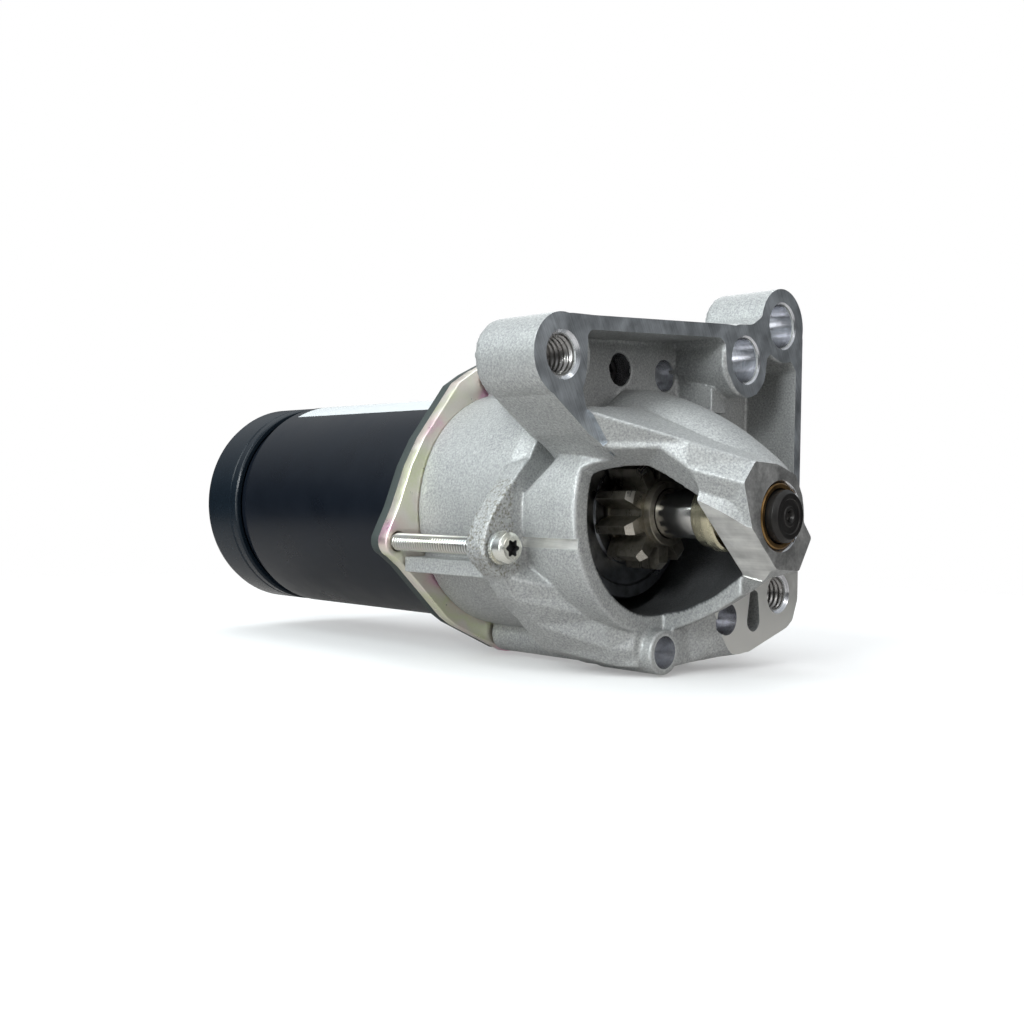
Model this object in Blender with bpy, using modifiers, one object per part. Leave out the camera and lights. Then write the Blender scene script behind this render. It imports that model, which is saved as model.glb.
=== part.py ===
"""Starter motor with planetary reduction, built as an assembly of separate pieces.

Lengths in the tables below are millimetres and are turned into metres by MM.
The shaft axis is world Y. The nose points to -Y, the motor runs back along +Y, and
y = 0 is the plane of the machined mounting face. +Z is up, +X is the solenoid side.
"""
import math

import bmesh
import bpy
from mathutils import Matrix, Vector

MM = 0.001
GAP = 0.3          # clearance between neighbouring solids
ROUND = 28         # segments of a large turned piece
SMALL = 14         # segments of a small turned piece

# ---- driving dimensions along the shaft (y) --------------------------------------------
LUG_Y = (26.5, 33.0)
PLATE_Y = (66.3, 70.0)
SEAL_Y = (70.3, 74.0)
TUBE_Y = (74.3, 160.6)
CAP_Y = (160.9, 181.3)

# ---- driving radii ---------------------------------------------------------------------
SHAFT_R = 6.5
TUBE_R = 33.7
TUBE_BORE_R = 31.0
MAGNET_R = (22.6, 30.6)
CORE_R = 21.8

# ---- pinion and reduction --------------------------------------------------------------
PINION_TEETH = 10
PINION_MODULE = 2.5
PINION_Y = (6.0, 17.5)
SUN_TEETH, PLANET_TEETH, RING_TEETH = 12, 15, 42
GEAR_MODULE = 1.25
PLANETS = 3
PLANET_ORBIT_R = GEAR_MODULE * (SUN_TEETH + PLANET_TEETH) / 2
GEAR_Y = (57.0, 65.0)

# ---- fork and solenoid -----------------------------------------------------------------
SOLENOID_ANGLE = math.radians(25.0)      # direction from the shaft to the solenoid axis
SOLENOID_OFFSET = 57.5
SOLENOID_R = 22.0
SOLENOID_Y = (44.6, 98.0)
FORK_PIVOT_R = 30.0
FORK_PIVOT_Y = 33.0
SOLENOID_SCREW_SIDE = 19.5
PINION_TRAVEL = 12.0
PLUNGER_TRAVEL = PINION_TRAVEL * (SOLENOID_OFFSET - FORK_PIVOT_R) / FORK_PIVOT_R
FORK_TILT = math.asin(PINION_TRAVEL / 2 / FORK_PIVOT_R)
PLUNGER_EYE_Y = FORK_PIVOT_Y - PLUNGER_TRAVEL / 2

SOL_X = SOLENOID_OFFSET * math.cos(SOLENOID_ANGLE)
SOL_Z = SOLENOID_OFFSET * math.sin(SOLENOID_ANGLE)

# ---- mounting holes: x, z, hole radius, boss radius ------------------------------------
HOLE_A = (-46.6, 37.2, 4.9, 10.0)
HOLE_C = (45.5, 54.0, 6.2, 10.6)
HOLE_D = (27.6, 42.6, 6.2, 10.3)
HOLE_E = (45.9, -22.9, 4.7, 10.0)

# ---- plate screws (M5) ------------------------------------------------------------------
PLATE_SCREWS = ((-40.9, -9.3), (-5.8, 38.2), (0.0, -36.9))
SCREW_R = 2.45
SCREW_HEAD_R = 4.1
SCREW_SEAT_Y = 26.4

COLOURS = {
    "cast": ((0.60, 0.61, 0.62), 0.45, 1.0),
    "steel": ((0.46, 0.46, 0.46), 0.28, 1.0),
    "dark_steel": ((0.10, 0.10, 0.10), 0.30, 1.0),
    "zinc": ((0.70, 0.68, 0.58), 0.30, 1.0),
    "paint": ((0.012, 0.016, 0.025), 0.35, 0.0),
    "bronze": ((0.42, 0.25, 0.10), 0.40, 1.0),
    "copper": ((0.72, 0.33, 0.18), 0.35, 1.0),
    "rubber": ((0.02, 0.02, 0.02), 0.70, 0.0),
    "plastic": ((0.03, 0.03, 0.03), 0.45, 0.0),
    "nylon": ((0.75, 0.72, 0.62), 0.50, 0.0),
    "ferrite": ((0.09, 0.09, 0.10), 0.60, 0.0),
    "carbon": ((0.06, 0.05, 0.05), 0.55, 0.2),
}


# =========================================================================================
# Scene, collections and materials
# =========================================================================================
def clear_scene():
    for obj in list(bpy.data.objects):
        bpy.data.objects.remove(obj, do_unlink=True)


def new_collection(name):
    collection = bpy.data.collections.new(name)
    bpy.context.scene.collection.children.link(collection)
    return collection


clear_scene()
PARTS = new_collection("starter_motor")
CUTTERS = new_collection("cutters")


def material(name):
    """The shared material of one finish, made the first time it is asked for."""
    found = bpy.data.materials.get(name)
    if found:
        return found
    colour, roughness, metallic = COLOURS[name]
    made = bpy.data.materials.new(name)
    made.use_nodes = True
    shader = made.node_tree.nodes["Principled BSDF"]
    shader.inputs["Base Color"].default_value = (*colour, 1.0)
    shader.inputs["Roughness"].default_value = roughness
    shader.inputs["Metallic"].default_value = metallic
    return made


def add_object(name, mesh, finish=None):
    """Link a mesh as a part, or as a cutter when no finish is given."""
    obj = bpy.data.objects.new(name, mesh)
    if finish:
        PARTS.objects.link(obj)
        mesh.materials.clear()
        mesh.materials.append(material(finish))
    else:
        CUTTERS.objects.link(obj)
        obj.hide_render = True
        obj.display_type = "WIRE"
    return obj


def shade(obj):
    obj.data.shade_smooth()
    obj.data.set_sharp_from_angle(angle=math.radians(32))
    return obj


# =========================================================================================
# Outlines (points are (x, z) in millimetres)
# =========================================================================================
def arc(cx, cz, radius, start, end, steps):
    """Points of a circular arc from start to end, in degrees, both ends included."""
    points = []
    for i in range(steps + 1):
        angle = math.radians(start + (end - start) * i / steps)
        points.append((cx + radius * math.cos(angle), cz + radius * math.sin(angle)))
    return points


def circle(cx, cz, radius, steps=SMALL):
    return arc(cx, cz, radius, 0, 360 * (steps - 1) / steps, steps - 1)


def turn_points(points, angle, cx=0.0, cz=0.0):
    c, s = math.cos(angle), math.sin(angle)
    return [(cx + x * c - z * s, cz + x * s + z * c) for x, z in points]


def rectangle(x0, z0, x1, z1):
    return [(x0, z0), (x1, z0), (x1, z1), (x0, z1)]


def gear_outline(teeth, root_r, tip_r, root_share, tip_share, phase=0.0):
    """Straight-flanked teeth; the shares are tooth widths as parts of the pitch angle."""
    pitch = 2 * math.pi / teeth
    points = []
    for i in range(teeth):
        mid = phase + i * pitch
        for radius, offset in ((root_r, -root_share / 2), (tip_r, -tip_share / 2),
                               (tip_r, tip_share / 2), (root_r, root_share / 2)):
            angle = mid + offset * pitch
            points.append((radius * math.cos(angle), radius * math.sin(angle)))
    return points


# =========================================================================================
# Solids
# =========================================================================================
def evaluated_mesh(obj):
    depsgraph = bpy.context.evaluated_depsgraph_get()
    return bpy.data.meshes.new_from_object(obj.evaluated_get(depsgraph))


def weld(mesh):
    bm = bmesh.new()
    bm.from_mesh(mesh)
    bmesh.ops.remove_doubles(bm, verts=bm.verts, dist=1e-6)
    bmesh.ops.recalc_face_normals(bm, faces=bm.faces)
    bm.to_mesh(mesh)
    bm.free()
    return mesh


def slab(name, outlines, y0, y1, finish=None):
    """A flat piece between two y planes; outlines after the first are holes."""
    curve = bpy.data.curves.new(name, "CURVE")
    curve.dimensions = "2D"
    curve.fill_mode = "BOTH"
    curve.extrude = (y1 - y0) / 2 * MM
    for outline in outlines:
        spline = curve.splines.new("POLY")
        spline.points.add(len(outline) - 1)
        for point, (x, z) in zip(spline.points, outline):
            point.co = (x * MM, z * MM, 0.0, 1.0)
        spline.use_cyclic_u = True
    guide = bpy.data.objects.new(name + "_outline", curve)
    CUTTERS.objects.link(guide)
    guide.matrix_world = (
        Matrix.Translation((0, (y0 + y1) / 2 * MM, 0)) @ Matrix.Rotation(math.radians(90), 4, "X")
    )
    bpy.context.view_layer.update()
    mesh = evaluated_mesh(guide)
    mesh.transform(guide.matrix_world)
    bpy.data.objects.remove(guide)
    return add_object(name, weld(mesh), finish)


def turned(name, profile, finish=None, x=0.0, z=0.0, steps=ROUND, closed=False):
    """A turned piece about a line along Y; the profile is (radius, y), rear to front."""
    bm = bmesh.new()
    verts = [bm.verts.new((radius * MM, 0.0, y * MM)) for radius, y in profile]
    for a, b in zip(verts, verts[1:]):
        bm.edges.new((a, b))
    if closed:
        bm.edges.new((verts[-1], verts[0]))
    mesh = bpy.data.meshes.new(name)
    bm.to_mesh(mesh)
    bm.free()
    obj = add_object(name, mesh, finish)
    screw = obj.modifiers.new("turn", "SCREW")
    screw.axis = "Z"
    screw.steps = steps
    screw.render_steps = steps
    screw.use_merge_vertices = True
    screw.merge_threshold = 0.00001
    screw.use_smooth_shade = True
    obj.rotation_euler = (math.radians(-90), 0, 0)
    obj.location = (x * MM, 0, z * MM)
    return obj


def rod(name, radius, y0, y1, finish=None, x=0.0, z=0.0, steps=SMALL):
    return turned(name, [(0, y1), (radius, y1), (radius, y0), (0, y0)], finish, x, z, steps)


def ring(name, outer, inner, y0, y1, finish=None, x=0.0, z=0.0, steps=ROUND):
    profile = [(outer, y1), (outer, y0), (inner, y0), (inner, y1)]
    return turned(name, profile, finish, x, z, steps, closed=True)


def loft(name, sections, finish=None):
    """Skin between outlines of equal length; each section is (y, outline)."""
    bm = bmesh.new()
    rings = [[bm.verts.new((x * MM, y * MM, z * MM)) for x, z in outline] for y, outline in sections]
    for near, far in zip(rings, rings[1:]):
        for i in range(len(near)):
            j = (i + 1) % len(near)
            bm.faces.new((near[i], near[j], far[j], far[i]))
    bm.faces.new(rings[0])
    bm.faces.new(reversed(rings[-1]))
    bmesh.ops.triangulate(bm, faces=bm.faces)
    bmesh.ops.recalc_face_normals(bm, faces=bm.faces)
    mesh = bpy.data.meshes.new(name)
    bm.to_mesh(mesh)
    bm.free()
    return add_object(name, mesh, finish)


def box(name, low, high, finish=None):
    bm = bmesh.new()
    bmesh.ops.create_cube(bm, size=1.0)
    size = [(b - a) * MM for a, b in zip(low, high)]
    centre = [(a + b) / 2 * MM for a, b in zip(low, high)]
    bmesh.ops.scale(bm, vec=size, verts=bm.verts)
    bmesh.ops.translate(bm, vec=centre, verts=bm.verts)
    mesh = bpy.data.meshes.new(name)
    bm.to_mesh(mesh)
    bm.free()
    return add_object(name, mesh, finish)


def cross_rod(name, start, end, radius, finish=None, steps=SMALL):
    """A rod between two points, in any direction."""
    start, end = Vector(start), Vector(end)
    axis = end - start
    bm = bmesh.new()
    bmesh.ops.create_cone(
        bm, cap_ends=True, segments=steps, radius1=radius * MM, radius2=radius * MM,
        depth=axis.length * MM)
    mesh = bpy.data.meshes.new(name)
    bm.to_mesh(mesh)
    bm.free()
    turn = axis.to_track_quat("Z", "Y").to_matrix().to_4x4()
    mesh.transform(Matrix.Translation((start + end) / 2 * MM) @ turn)
    return add_object(name, mesh, finish)


def combine(obj, tool, operation="DIFFERENCE"):
    modifier = obj.modifiers.new(tool.name, "BOOLEAN")
    modifier.operation = operation
    modifier.solver = "EXACT"
    modifier.object = tool
    return obj


def join(obj, tool):
    return combine(obj, tool, "UNION")


def toward_solenoid(distance, side=0.0):
    """(x, z) at a distance from the shaft toward the solenoid, and sideways from there."""
    c, s = math.cos(SOLENOID_ANGLE), math.sin(SOLENOID_ANGLE)
    return (distance * c - side * s, distance * s + side * c)


def solenoid_rectangle(near, far, half_width):
    corners = ((near, -half_width), (far, -half_width), (far, half_width), (near, half_width))
    return [toward_solenoid(distance, side) for distance, side in corners]


def weld_seams():
    """Close the hairline seams that a chain of booleans leaves behind."""
    for obj in PARTS.objects:
        if any(modifier.type == "BOOLEAN" for modifier in obj.modifiers):
            seam = obj.modifiers.new("weld", "WELD")
            seam.merge_threshold = 0.00002


def set_origin(obj, point):
    """Move an object's origin to a point, in millimetres, without moving its shape."""
    bpy.context.view_layer.update()
    target = Vector(point) * MM
    local = obj.matrix_world.inverted() @ target
    obj.data.transform(Matrix.Translation(-local))
    obj.matrix_world = obj.matrix_world @ Matrix.Translation(local)


# =========================================================================================
# Drive-end housing
# =========================================================================================
def flange_outline():
    """Outer edge of the mounting flange, seen from the front, anticlockwise from boss C."""
    outline = arc(HOLE_C[0], HOLE_C[1], HOLE_C[3], 0, 172, 10)
    outline += [(31.0, 53.1), (27.2, 51.9), (15.9, 51.4), (-36.0, 47.6)]
    outline += arc(HOLE_A[0], HOLE_A[1], HOLE_A[3], 85, 222, 9)
    outline += [(-37.2, 19.0), (-32.5, 16.8), (-20.0, 8.0), (0.0, -10.0), (24.0, -30.0)]
    outline += [(31.2, -38.7), (50.6, -33.0), (53.6, -31.0), (56.1, -25.0)]
    return outline


def pocket_outline():
    """Hollow between the mounting bosses, open at the front and closed behind."""
    return [
        (-38.4, 42.5), (-37.0, 44.0), (15.6, 47.6), (18.1, 46.0), (19.2, 39.4), (23.0, 34.6),
        (27.9, 32.3), (33.0, 33.4), (36.6, 37.6), (37.4, 43.6), (39.5, 45.6), (45.8, 43.6),
        (50.4, 44.2), (52.8, 41.5), (52.8, -8.0), (48.0, -11.6), (38.0, -14.0), (31.0, -14.0),
        (10.0, 0.0), (-20.0, 14.0), (-32.3, 21.6), (-38.2, 24.7), (-39.6, 29.5), (-38.7, 35.4)]


DOME_PROFILE = [   # radius, y: motor end of the barrel to the nose
    (0, 66.0), (34.2, 66.0), (34.2, 32.0), (33.2, 28.0), (32.9, 15.0), (32.5, 9.5), (31.2, 5.0),
    (29.5, 0.0), (27.4, -5.0), (25.0, -10.0), (22.2, -15.0), (19.0, -20.0), (15.6, -25.0),
    (12.4, -28.9), (0, -28.9)]

CAVITY_PROFILE = [
    (0, 67.0), (30.5, 67.0), (30.5, 33.0), (28.4, 31.0), (28.0, 20.0), (27.4, 9.5), (25.6, 1.0),
    (21.2, -9.0), (16.2, -16.5), (14.6, -18.5), (0, -18.5)]

# roof over the pinion and block round the nose bush; the first three points of each
# section are the upper ridge, the lower ridge and the foot of the side wall
NOSE_SECTIONS = [
    (-30.0, [(-11.3, 13.0), (-15.9, 7.8), (-12.2, -2.8), (-1.2, -12.9), (8.5, -13.6),
             (13.9, -5.4), (10.2, -1.5), (9.4, 5.0), (6.2, 10.2), (-2.0, 12.6)]),
    (-18.0, [(-22.1, 17.7), (-22.5, 11.2), (-13.6, -2.9), (-3.5, -14.0), (9.0, -17.0),
             (18.0, -9.0), (18.0, -1.5), (17.0, 8.0), (10.0, 15.0), (-2.0, 18.0)]),
    (3.0, [(-41.0, 25.8), (-34.0, 17.2), (-17.2, 8.0), (0.0, -12.0), (9.0, -14.0),
           (16.0, -8.0), (16.0, 0.0), (16.0, 10.0), (12.0, 20.0), (0.0, 28.0)])]


def facet(near, y_points):
    """Sections of the wedge beyond the bell's flat flank; near is its distance at y 26.5."""
    out, side = Vector((-0.593, 0.805)), Vector((0.805, 0.593))
    sections = []
    for y in y_points:
        distance = near + max(26.5 - y, 0.0) * 0.65
        low, high = out * distance, out * 70.0
        sections.append((y, [tuple(low - side * 45), tuple(low + side * 45),
                             tuple(high + side * 45), tuple(high - side * 45)]))
    return sections


def lug_wall_outline():
    ear_x, ear_z = PLATE_SCREWS[0]
    outline = [(-10.0, 24.0), (-21.0, 22.6), (-32.0, 12.4), (-42.0, 1.2), (-45.0, -3.6)]
    outline += arc(ear_x, ear_z, 5.6, 160, 236, 5)
    outline += [(-38.6, -18.2), (-35.0, -22.6), (-26.4, -29.8), (-18.0, -37.4), (0.0, -42.6)]
    outline += [(18.0, -43.0), (34.0, -40.0), (36.0, -20.0), (0.0, 0.0)]
    return outline


def lower_web(name):
    """The web under the bell, from the lug wall forward to the lower mounting hole."""
    lug = [(-38.0, -17.0), (-35.0, -22.6), (-26.4, -29.8), (-18.0, -37.4), (0.0, -42.6),
           (18.0, -43.0), (34.0, -40.0), (36.0, -20.0), (0.0, 0.0)]
    middle = [(-16.0, -22.0), (-15.5, -28.0), (-13.0, -36.0), (-10.0, -40.6), (0.0, -41.8),
              (16.0, -41.4), (33.0, -38.6), (36.0, -20.0), (0.0, 0.0)]
    front = [(0.0, -22.0), (-3.0, -29.0), (-4.6, -36.0), (-3.6, -41.0), (2.0, -41.2),
             (12.0, -40.4), (32.0, -38.5), (36.0, -20.0), (4.0, -10.0)]
    face = [(14.0, -18.0), (15.0, -26.0), (19.0, -33.0), (22.0, -37.0), (24.0, -38.6),
            (27.0, -38.9), (32.0, -38.4), (36.0, -20.0), (16.0, -12.0)]
    step = [(9.0, -19.0), (9.0, -27.0), (10.0, -34.5), (11.0, -40.4), (14.0, -40.3),
            (19.0, -39.9), (32.0, -38.5), (36.0, -20.0), (10.0, -11.0)]
    return loft(name, [(0.0, face), (4.6, step), (5.0, front), (13.0, middle), (27.0, lug)])


def drive_end_housing():
    flange = slab("drive_end_housing", [flange_outline()], 0.0, 20.0, "cast")
    combine(flange, slab("cut_pocket", [pocket_outline()], -1.0, 17.0))

    # bosses that run back past the flange
    for tag, (x, z, _, boss_r) in (("a", HOLE_A), ("c", HOLE_C), ("d", HOLE_D)):
        profile = [(0, 21.2), (boss_r - 1.8, 21.2), (boss_r - 1.0, 18.4), (boss_r - 0.02, 18.0),
                   (boss_r - 0.02, 0.3), (0, 0.3)]
        join(flange, turned("add_boss_" + tag, profile, x=x, z=z, steps=20))
    join(flange, loft("add_nub", [
        (5.5, rectangle(19.5, 28.0, 26.0, 34.5)), (18.0, rectangle(18.6, 26.0, 31.0, 37.5))]))

    # barrel, bell and dome are one turned shape; the roof and nose are carried on its left
    dome = turned("add_dome", DOME_PROFILE, steps=44)
    combine(dome, loft("cut_flank", facet(22.6, (8.0, 26.5))))
    join(flange, dome)
    join(flange, loft("add_nose", NOSE_SECTIONS))
    join(flange, loft("add_gusset", [
        (17.6, [(-49.0, 29.8), (-36.5, 20.0), (-20.0, 11.0), (-14.0, 33.0)]),
        (56.0, [(-13.4, 31.3), (-13.0, 29.0), (-8.0, 27.0), (-8.0, 31.4)])]))
    join(flange, slab("add_lug_wall", [lug_wall_outline()], *LUG_Y))
    join(flange, lower_web("add_lower_web"))
    ear_x, ear_z = PLATE_SCREWS[0]
    join(flange, box("add_screw_rib", (ear_x + 1.8, 32.0, ear_z - 8.3), (-28.0, 65.9, ear_z - 4.1)))
    for index, (x, z) in enumerate(PLATE_SCREWS[1:], 2):
        join(flange, rod("add_screw_boss_%d" % index, 5.2, 18.0, 65.7, x=x, z=z, steps=24))
    join(flange, rod("add_screw_pad", 6.0, 4.9, 26.0, x=PLATE_SCREWS[2][0], z=PLATE_SCREWS[2][1], steps=24))
    join(flange, rod("add_pocket_boss", 6.6, 18.5, 32.0, x=13.4, z=38.1, steps=24))

    # chamber for the fork lever, and the seat of the solenoid
    join(flange, slab("add_fork_chamber", [solenoid_rectangle(20, 73, 15)], 19.0, 44.0))
    join(flange, rod("add_solenoid_seat", 25.5, 36.0, 44.0, x=SOL_X, z=SOL_Z, steps=ROUND))

    # hollows and bores
    cavity = turned("cut_cavity", CAVITY_PROFILE, steps=36)
    combine(cavity, loft("keep_flank", facet(20.2, (8.0, 26.5, 29.5))))
    combine(flange, cavity)
    combine(flange, slab("cut_fork_chamber", [solenoid_rectangle(5, 69.5, 10)], 22.3, 45.0))
    combine(flange, rod("cut_plunger_way", 12.3, 20.8, 45.0, x=SOL_X, z=SOL_Z, steps=28))
    for side in (-SOLENOID_SCREW_SIDE, SOLENOID_SCREW_SIDE):
        x, z = toward_solenoid(SOLENOID_OFFSET, side)
        combine(flange, rod("cut_solenoid_screw", SCREW_R + GAP, 30.0, 45.0, x=x, z=z, steps=16))
    window = loft("cut_window", [
        (-18.8, [(1.0, -60.0), (1.0, 1.8), (-13.9, 2.0), (-30.0, 19.5), (-80.0, -60.0)]),
        (0.5, [(2.8, -60.0), (2.8, 6.8), (-16.8, 9.2), (-49.3, 22.6), (-80.0, -60.0)]),
        (8.6, [(3.5, -60.0), (3.5, 5.2), (-18.0, 7.0), (-57.4, 20.0), (-80.0, -60.0)])])
    combine(flange, window)
    combine(flange, slab("cut_nose_chamfer", [
        [(-40.0, 22.6), (-12.1, -3.0), (-1.3, -12.95), (20.0, -32.0), (-40.0, -60.0)]], -31.0, -18.1))
    combine(flange, rod("cut_nose_bore", 8.45, -31.0, -17.0, steps=32))
    for tag, (x, z, hole_r, _) in (("a", HOLE_A), ("c", HOLE_C), ("d", HOLE_D), ("e", HOLE_E)):
        mouth = 1.0 if tag in "ae" else 0.6
        profile = [(0, 24.0), (hole_r, 24.0), (hole_r, mouth), (hole_r + mouth + 0.5, -0.5), (0, -0.5)]
        combine(flange, turned("cut_hole_" + tag, profile, x=x, z=z, steps=24))
    slot = arc(33.6, -30.0, 3.1, 180, 360, 8) + [(35.6, -22.0), (32.0, -20.5)]
    combine(flange, slab("cut_slot_f", [slot], -1.0, 14.0))
    combine(flange, turned("cut_bore_g", [
        (0, 16.0), (3.2, 14.8), (4.5, 14.0), (4.5, -1.0), (0, -1.0)], x=21.0, z=-28.8, steps=20))
    combine(flange, rod("cut_pocket_hole", 4.4, 8.0, 28.5, x=13.4, z=38.1, steps=24))
    combine(flange, rod("cut_ear_bore", SCREW_R + GAP, 20.0, 67.0, x=ear_x, z=ear_z, steps=SMALL))
    for index, (x, z) in enumerate(PLATE_SCREWS[1:], 2):
        mouth = -1.0 if index == 3 else 12.0
        profile = [(0, 67.0), (SCREW_R + GAP, 67.0), (SCREW_R + GAP, SCREW_SEAT_Y), (4.4, SCREW_SEAT_Y),
                   (4.4, mouth), (0, mouth)]
        combine(flange, turned("cut_screw_bore_%d" % index, profile, x=x, z=z, steps=18))
    pin_start = toward_solenoid(FORK_PIVOT_R, -22.0)
    pin_end = toward_solenoid(FORK_PIVOT_R, 12.0)
    combine(flange, cross_rod(
        "cut_pivot_bore", (pin_start[0], FORK_PIVOT_Y, pin_start[1]),
        (pin_end[0], FORK_PIVOT_Y, pin_end[1]), 2.5 + GAP))
    for modifier in flange.modifiers:      # the casting's many near-tangent cuts need this solver
        modifier.solver = "MANIFOLD"
    return flange


# =========================================================================================
# Shaft, pinion and clutch
# =========================================================================================
CARRIER_R = 22.5
CARRIER_Y = (52.0, 55.5)
PLANET_PIN_R = 2.8


def planet_centres():
    for i in range(PLANETS):
        angle = math.radians(90) + 2 * math.pi * i / PLANETS
        yield i + 1, angle, PLANET_ORBIT_R * math.cos(angle), PLANET_ORBIT_R * math.sin(angle)


def drive_shaft():
    shaft = turned("drive_shaft", [
        (0, 47.0), (4.6, 47.0), (4.6, CARRIER_Y[1]), (CARRIER_R, CARRIER_Y[1]),
        (CARRIER_R, CARRIER_Y[0]), (9.0, CARRIER_Y[0]), (9.0, 46.0), (7.0, 46.0), (7.0, 27.0),
        (SHAFT_R, 26.0), (SHAFT_R, -12.9), (5.6, -12.9), (5.6, -14.5), (SHAFT_R, -14.5),
        (SHAFT_R, -31.4), (5.5, -32.7), (1.7, -32.7), (1.1, -31.6), (0, -31.3)], "steel", steps=24)
    join(shaft, slab("add_splines", [gear_outline(8, 6.6, 8.0, 0.60, 0.45)], 27.4, 45.2))
    for index, _, x, z in planet_centres():
        combine(shaft, rod("cut_carrier_%d" % index, PLANET_PIN_R + GAP, 51.0, 57.0, x=x, z=z, steps=12))
    return shaft


def pinion_outline():
    """Ten stub teeth: two flank points on each side, and a flat tip."""
    pitch = 2 * math.pi / PINION_TEETH
    tip = PINION_MODULE * (PINION_TEETH + 2) / 2
    half_tooth = ((9.5, 0.34), (11.0, 0.29), (13.0, 0.22), (tip, 0.12))
    points = []
    for i in range(PINION_TEETH):
        mid = math.radians(18) + i * pitch
        flank = [(r, -share) for r, share in half_tooth] + [(r, share) for r, share in half_tooth[::-1]]
        points += [(r * math.cos(mid + s * pitch), r * math.sin(mid + s * pitch)) for r, s in flank]
    return points


def pinion():
    gear = slab("pinion", [pinion_outline()], *PINION_Y, "dark_steel")
    chamfer = turned("keep_pinion", [
        (0, 18.0), (15.4, 18.0), (15.4, 7.6), (13.0, 5.9), (0, 5.9)], steps=40)
    combine(gear, chamfer, "INTERSECT")
    join(gear, turned("add_pinion_hub", [(0, 29.5), (10.0, 29.5), (10.0, 10.0), (8.6, 10.0),
                                         (8.6, 4.0), (0, 4.0)], steps=24))
    combine(gear, rod("cut_pinion_bore", SHAFT_R + GAP, 3.0, 31.0, steps=24))
    combine(gear, rod("cut_pinion_spline_room", 8.6, 24.0, 31.0, steps=24))
    return gear


def clutch():
    """Roller-clutch shell with the fork collar behind it, sliding on the shaft's splines."""
    return turned("overrunning_clutch", [
        (18.8, 31.0), (19.8, 30.0), (19.8, 22.6), (23.5, 21.2), (23.5, 18.6), (22.9, 18.0),
        (10.4, 18.0), (10.4, 29.8), (8.4, 29.8), (8.4, 45.5), (15.4, 45.5), (15.4, 43.5), (11.5, 43.5), (11.5, 34.5),
        (15.4, 34.5), (15.4, 31.0)], "dark_steel", steps=32, closed=True)


def stop_pieces():
    turned("stop_collar", [
        (8.4, -9.0), (8.4, -12.0), (9.4, -12.5), (9.4, -15.2), (8.8, -15.8), (SHAFT_R + 1.0, -15.8),
        (SHAFT_R + 1.0, -12.2), (SHAFT_R + GAP, -12.2), (SHAFT_R + GAP, -8.6), (8.0, -8.6)],
        "zinc", steps=24, closed=True)
    snap = ring("retaining_ring", 7.2, 5.9, -14.2, -13.2, "steel", steps=24)
    combine(snap, box("cut_snap_gap", (-1.5, -15.0, -9.0), (1.5, -12.0, -4.0)))


# =========================================================================================
# Planetary reduction
# =========================================================================================
TOOTH = {"root_share": 0.60, "tip_share": 0.20}
ADDENDUM = 0.88 * GEAR_MODULE
DEDENDUM = 1.2 * GEAR_MODULE


def gear_points(teeth, phase, internal=False):
    pitch_r = GEAR_MODULE * teeth / 2
    inward = -1 if internal else 1
    root_r = pitch_r - inward * DEDENDUM
    tip_r = pitch_r + inward * ADDENDUM
    return gear_outline(teeth, root_r, tip_r, phase=phase, **TOOTH)


def planet_phase(angle):
    """Turn of a planet that puts a tooth space on the sun tooth facing it (sun phase 0)."""
    return angle + math.pi + SUN_TEETH / PLANET_TEETH * angle - math.pi / PLANET_TEETH


def ring_phase():
    _, angle, _, _ = next(planet_centres())
    planet_offset = planet_phase(angle) - angle
    return angle + PLANET_TEETH / RING_TEETH * planet_offset - math.pi / RING_TEETH


def reduction():
    rim = circle(0, 0, 30.2, 40)
    gear = slab("ring_gear", [rim, gear_points(RING_TEETH, ring_phase(), internal=True)],
                49.8, 65.3, "nylon")
    join(gear, ring("add_bearing_wall", 30.2, 11.6, 47.0, 50.0, steps=40))
    ring("centre_bush", 11.2, 9.3, 46.9, 51.4, "bronze", steps=24)
    for index, angle, x, z in planet_centres():
        outline = [(px + x, pz + z) for px, pz in gear_points(PLANET_TEETH, planet_phase(angle))]
        planet = slab("planet_gear_%d" % index, [outline, circle(x, z, PLANET_PIN_R + GAP)], *GEAR_Y, "steel")
        set_origin(planet, (x, GEAR_Y[0], z))
        rod("planet_pin_%d" % index, PLANET_PIN_R, 52.2, 65.2, "steel", x=x, z=z)


# =========================================================================================
# Fork lever
# =========================================================================================
def bake(obj):
    """Replace an object's mesh by its evaluated one, so that it can be placed."""
    bpy.context.view_layer.update()
    mesh = evaluated_mesh(obj)
    obj.modifiers.clear()
    obj.data = mesh
    return obj


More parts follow.
